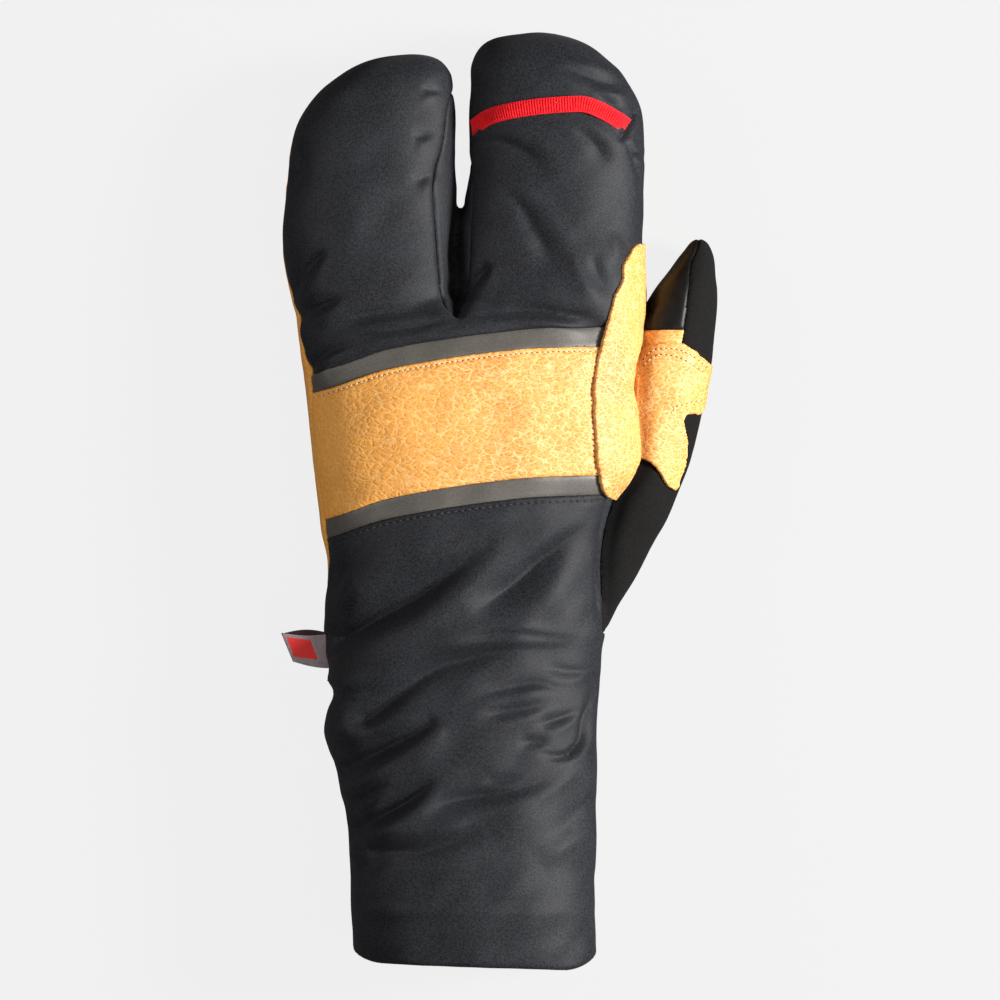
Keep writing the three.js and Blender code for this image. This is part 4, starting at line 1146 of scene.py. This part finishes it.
# Small round pieces set in rows: stitches and ribs, placed by one node tree
def rowTree(name, material):
    tree = bpy.data.node_groups.new(name, "GeometryNodeTree")
    for title, kind in (("Geometry", "Geometry"), ("Length", "Float"), ("Radius", "Float")):
        tree.interface.new_socket(title, in_out="INPUT", socket_type="NodeSocket" + kind)
    tree.interface.new_socket("Geometry", in_out="OUTPUT", socket_type="NodeSocketGeometry")
    given = node(tree, "NodeGroupInput").outputs
    radius = given["Radius"]
    ball = node(tree, "GeometryNodeMeshUVSphere", {"Segments": 8, "Rings": 6, "Radius": 1})
    half = calc(tree, "MULTIPLY", given["Length"], 0.5)
    size = node(tree, "ShaderNodeCombineXYZ", {"X": radius, "Y": radius, "Z": half})
    way = node(tree, "GeometryNodeInputNamedAttribute", {"Name": "way"}, data_type="FLOAT_VECTOR")
    align = node(tree, "FunctionNodeAlignRotationToVector", {"Vector": way.outputs["Attribute"]}, axis="Z")
    spots = node(tree, "GeometryNodeMeshToPoints", {"Mesh": given["Geometry"]})
    placed = node(tree, "GeometryNodeInstanceOnPoints", {
        "Points": spots.outputs["Points"], "Instance": ball.outputs["Mesh"],
        "Rotation": align.outputs["Rotation"], "Scale": size.outputs["Vector"]})
    realized = node(tree, "GeometryNodeRealizeInstances", {"Geometry": placed.outputs["Instances"]})
    sockets = {"Geometry": realized.outputs["Geometry"], "Material": material}
    dressed = node(tree, "GeometryNodeSetMaterial", sockets)
    node(tree, "NodeGroupOutput", {"Geometry": dressed.outputs["Geometry"]})
    return tree


def rowPiece(name, places, ways, length, radius, material, slot):
    # One small round piece at each place, lying along its way
    mesh = bpy.data.meshes.new(name + "Places")
    mesh.from_pydata((np.array(places) * metre).tolist(), [], [])
    attribute = mesh.attributes.new("way", "FLOAT_VECTOR", "POINT")
    attribute.data.foreach_set("vector", np.array(ways, float).ravel())
    obj = bpy.data.objects.new(name, mesh)
    bpy.context.scene.collection.objects.link(obj)
    modifier = obj.modifiers.new("rows", "NODES")
    modifier.node_group = rowTree(name, material)
    sizes = {"Length": length * metre, "Radius": radius * metre}
    for item in modifier.node_group.interface.items_tree:
        if item.name in sizes:
            modifier[item.identifier] = sizes[item.name]
    result = evaluated(obj)
    dropObject(obj)
    result.name = name
    result.shade_smooth()
    return addPiece(name, result, material, None, slot)


def lengthAlong(points):
    return np.concatenate([[0], np.cumsum(np.linalg.norm(np.diff(points, axis=0), axis=1))])


ribbonTop = ribbonGrid()
ribbonMiddle = ribbonTop[:, ribbon["across"] // 2]
ribbonMesh = stripMesh("pullRibbon", ribbonTop, ribbon["thickness"])
addPiece("pullRibbon", ribbonMesh, redRibbon, "pull_ribbon", "red_ribbon")
run = lengthAlong(ribbonMiddle)
ribAt = np.arange(ribbon["pitch"] / 2, run[-1], ribbon["pitch"])
ribPlaces = np.stack([np.interp(ribAt, run, ribbonMiddle[:, k]) for k in range(3)], 1)
ribWays = np.stack([np.interp(ribAt, run, (ribbonTop[:, -1] - ribbonTop[:, 0])[:, k]) for k in range(3)], 1)
rowPiece("ribbonRibs", ribPlaces, ribWays, ribbon["width"] * 1.03, ribbon["rib"], redRibbon, "red_ribbon")


# Stitches along the seams
def spaced(path, pitch, start):
    # Places along a path at this pitch, and which way the path runs at each
    points = splinePoints(path, 400) if len(path) < 60 else np.array(path)
    run = lengthAlong(points)

    def at(places):
        return np.stack([np.interp(places, run, points[:, k]) for k in (0, 1)], 1)

    places = np.arange(pitch * start, run[-1], pitch)
    step = at(places + 0.3) - at(places - 0.3)
    return at(places), step / np.linalg.norm(step, axis=1, keepdims=True)


def alongBand(offset, left, right):
    # A path that stays this far above the gauntlet's seam
    xs = np.linspace(left, right, 200)
    return np.stack([xs, seamY(xs) + offset], 1).tolist()


stitchRows = {
    "bandStitches": {
        "paths": [alongBand(bandTop - 1.7, -63.2, 34.4)],
        "pitch": 1.8, "length": 1.3, "radius": 0.33, "sink": 0.04, "hole": 0.75,
        "material": creamThread, "slot": "tan_leather"},
    "gauntletStitches": {
        "paths": [alongBand(-1.7, -57.5, 37.5)],
        "pitch": 2.35, "length": 2.0, "radius": 0.42, "sink": 0.0,
        "material": blackThread, "slot": "softshell"},
    "patchStitches": {
        "paths": [
            [(47.6, 46.6), (51.0, 50.3), (54.7, 51.4), (59.5, 51.2),
             (63.2, 50.0), (67.3, 47.6), (70.4, 45.2)],
            [(47.6, 44.4), (51.0, 47.8), (54.1, 49.3), (57.5, 49.1),
             (61.9, 47.9), (65.3, 45.9), (69.2, 43.4)],
            [(58.1, 28.9), (59.5, 31.5), (62.6, 32.4), (65.3, 33.4), (68.6, 33.6)]],
        "pitch": 1.75, "length": 1.25, "radius": 0.33, "sink": 0.04, "hole": 0.75,
        "material": creamThread, "slot": "tan_leather"},
    "wrapEdgeStitches": {
        "paths": [
            [(32.9, 49.6), (31.4, 41.8), (30.7, 36.7), (31.0, 30.3),
             (31.4, 20.4), (32.0, 11.9), (32.9, 7.4)]],
        "pitch": 1.9, "length": 0.8, "radius": 0.3, "sink": 0.05,
        "material": holeBrown, "slot": "tan_leather"},
}


def stitchPlaces(rows, start, sink):
    # Where a row's stitches lie on the mitt, and which way each runs
    places, ways = [], []
    for path in rows["paths"]:
        flat, steps = spaced(path, rows["pitch"], start)
        for (x, y), step in zip(flat, steps):
            place, normal = onTop(x, y)
            if place is None:
                continue
            way = np.array([step[0], step[1], 0])
            way -= normal * (way @ normal)
            places.append(place - normal * sink)
            ways.append(way)
    return places, ways


for name, rows in stitchRows.items():
    places, ways = stitchPlaces(rows, 0.5, rows["sink"])
    rowPiece(name, places, ways, rows["length"], rows["radius"], rows["material"], rows["slot"])
    # Dark brown pieces sunk in the needle holes between the stitches are painted shade, standing in for the
    # shade inside each hole
    if "hole" in rows:
        holeShades, ways = stitchPlaces(rows, 1.0, 0.08)
        rowPiece(name + "Holes", holeShades, ways, rows["hole"], 0.26, holeBrown, rows["slot"])
    print("row", name, len(places))


# Side label: a folded loop of tape with its fold outwards and its top edge open
label = {"thickness": 0.5, "z": 28.4, "gap": 1.5, "steps": 24, "topBow": -0.7, "lowBow": (1.3, -0.7),
         "block": [((1, 0.38, 0), -86.4, 3.9), ((0.12, 1, 0), -58.5, 3.2)],
         "fold": [(-74.4, -45.3), (-70.4, -55.0)], "seam": [(-57.5, -45.4), (-55.5, -57.2)]}


def labelMesh():
    # The loop's section runs from the seam round the fold and back, once for each step across the tape
    half = label["gap"] / 2
    corners = np.array([label["seam"], label["fold"]])

    def leaf(turns, seam, way, bow, side):
        return [(*(seam + way * t * 0.96 + (0, bow * math.sin(t * math.pi))),
                 label["z"] + side * half * (0.35 + 0.65 * math.sin(t * math.pi * 0.72))) for t in turns]

    rings = []
    for share in np.linspace(0, 1, label["steps"]):
        seam, fold = corners[:, 0] * (1 - share) + corners[:, 1] * share
        way = fold - seam
        ring = leaf(np.linspace(0, 1, 14), seam, way, label["topBow"], 1)
        for angle in np.linspace(0, math.pi, 7)[1:-1]:
            tip = seam + way * (0.96 + 0.04 * math.sin(angle))
            ring.append((*tip, label["z"] + half * 0.85 * math.cos(angle)))
        low, high = label["lowBow"]
        rings.append(ring + leaf(np.linspace(1, 0, 14), seam, way, low + (high - low) * share, -1))
    mesh = stripMesh("sideLabel", np.array(rings), label["thickness"])
    # The loop's inner faces are marked so that the material paints them near black: painted shade inside the
    # folded loop
    inside = mesh.attributes.new("inside", "FLOAT", "POINT")
    inside.data.foreach_set("value", np.repeat([0.0, 1.0], len(mesh.vertices) // 2))
    return mesh


def labelMaterial():
    material, tree = newMaterial("labelCloth")
    place = texturePlace(tree)
    cloth = ramp(tree, noise(tree, place, 1500), (0.3, (0.26, 0.195, 0.21)), (0.7, (0.4, 0.32, 0.33)))
    edges = []
    for slant, middle, half in label["block"]:
        along = node(tree, "ShaderNodeVectorMath", {0: place, 1: slant}, operation="DOT_PRODUCT")
        edges.append(calc(tree, "COMPARE", along.outputs["Value"], middle * metre, half * metre))
    printed = blend(tree, calc(tree, "MULTIPLY", *edges), cloth, (0.85, 0.035, 0.025, 1))
    # Painted shade: the faces inside the loop are turned near black
    inside = node(tree, "ShaderNodeAttribute", attribute_name="inside").outputs["Fac"]
    colour = blend(tree, inside, printed, (0.03, 0.008, 0.009, 1))
    return finished(material, colour, (noise(tree, place, 2600, 2), 0.08, 0.6), roughness=0.7)


addPiece("sideLabel", labelMesh(), labelMaterial(), "side_label", "label_cloth")
print("pieces done")


# Camera, straight above: 1000 px of the picture cover 0.34 m at the mitt's widest level
view = {"distance": 3.0, "level": 0.028, "across": 0.34, "sensor": 36.0}
cameraData = bpy.data.cameras.new("camera")
cameraData.sensor_width = view["sensor"]
cameraData.lens = view["sensor"] * view["distance"] / view["across"]
cameraData.clip_end = 20
camera = bpy.data.objects.new("camera", cameraData)
camera.location = (0, 0, view["distance"] + view["level"])
bpy.context.scene.collection.objects.link(camera)
bpy.context.scene.camera = camera

# Floor and light
studio = {"floor": 3.0, "floorGlow": 0.84, "key": 54.0, "fill": 6.0, "top": 4.5, "world": 0.1}


def addFloor():
    half = studio["floor"]
    mesh = bpy.data.meshes.new("floor")
    corners = [(-half, -half, 0), (half, -half, 0), (half, half, 0), (-half, half, 0)]
    mesh.from_pydata(corners, [], [(0, 1, 2, 3)])
    floor = bpy.data.objects.new("floor", mesh)
    bpy.context.scene.collection.objects.link(floor)
    material = newMaterial("floor")[0]
    mesh.materials.append(finished(
        material, base=(0.03, 0.03, 0.03, 1), roughness=0.9, specular=0.0,
        glow=(1, 1, 1, 1), glowStrength=studio["floorGlow"]))
    floor.visible_diffuse = False
    floor.visible_glossy = False


def addLight(name, place, size, power, target=(0, 0, 0.03)):
    light = bpy.data.lights.new(name, "AREA")
    light.shape = "DISK"
    light.size = size
    light.energy = power
    lamp = bpy.data.objects.new(name, light)
    lamp.location = place
    lamp.rotation_euler = (Vector(target) - Vector(place)).to_track_quat("-Z", "Y").to_euler()
    bpy.context.scene.collection.objects.link(lamp)


addFloor()
addLight("key", (1.3, 0.12, 0.85), 0.45, studio["key"])
addLight("fill", (-1.1, 0.35, 0.9), 0.6, studio["fill"])
addLight("top", (0.5, -0.6, 1.6), 0.9, studio["top"])
world = bpy.data.worlds.new("studio")
world.use_nodes = True
world.node_tree.nodes["Background"].inputs["Color"].default_value = (1, 1, 1, 1)
world.node_tree.nodes["Background"].inputs["Strength"].default_value = studio["world"]
bpy.context.scene.world = world
bpy.context.scene.view_settings.view_transform = "Standard"
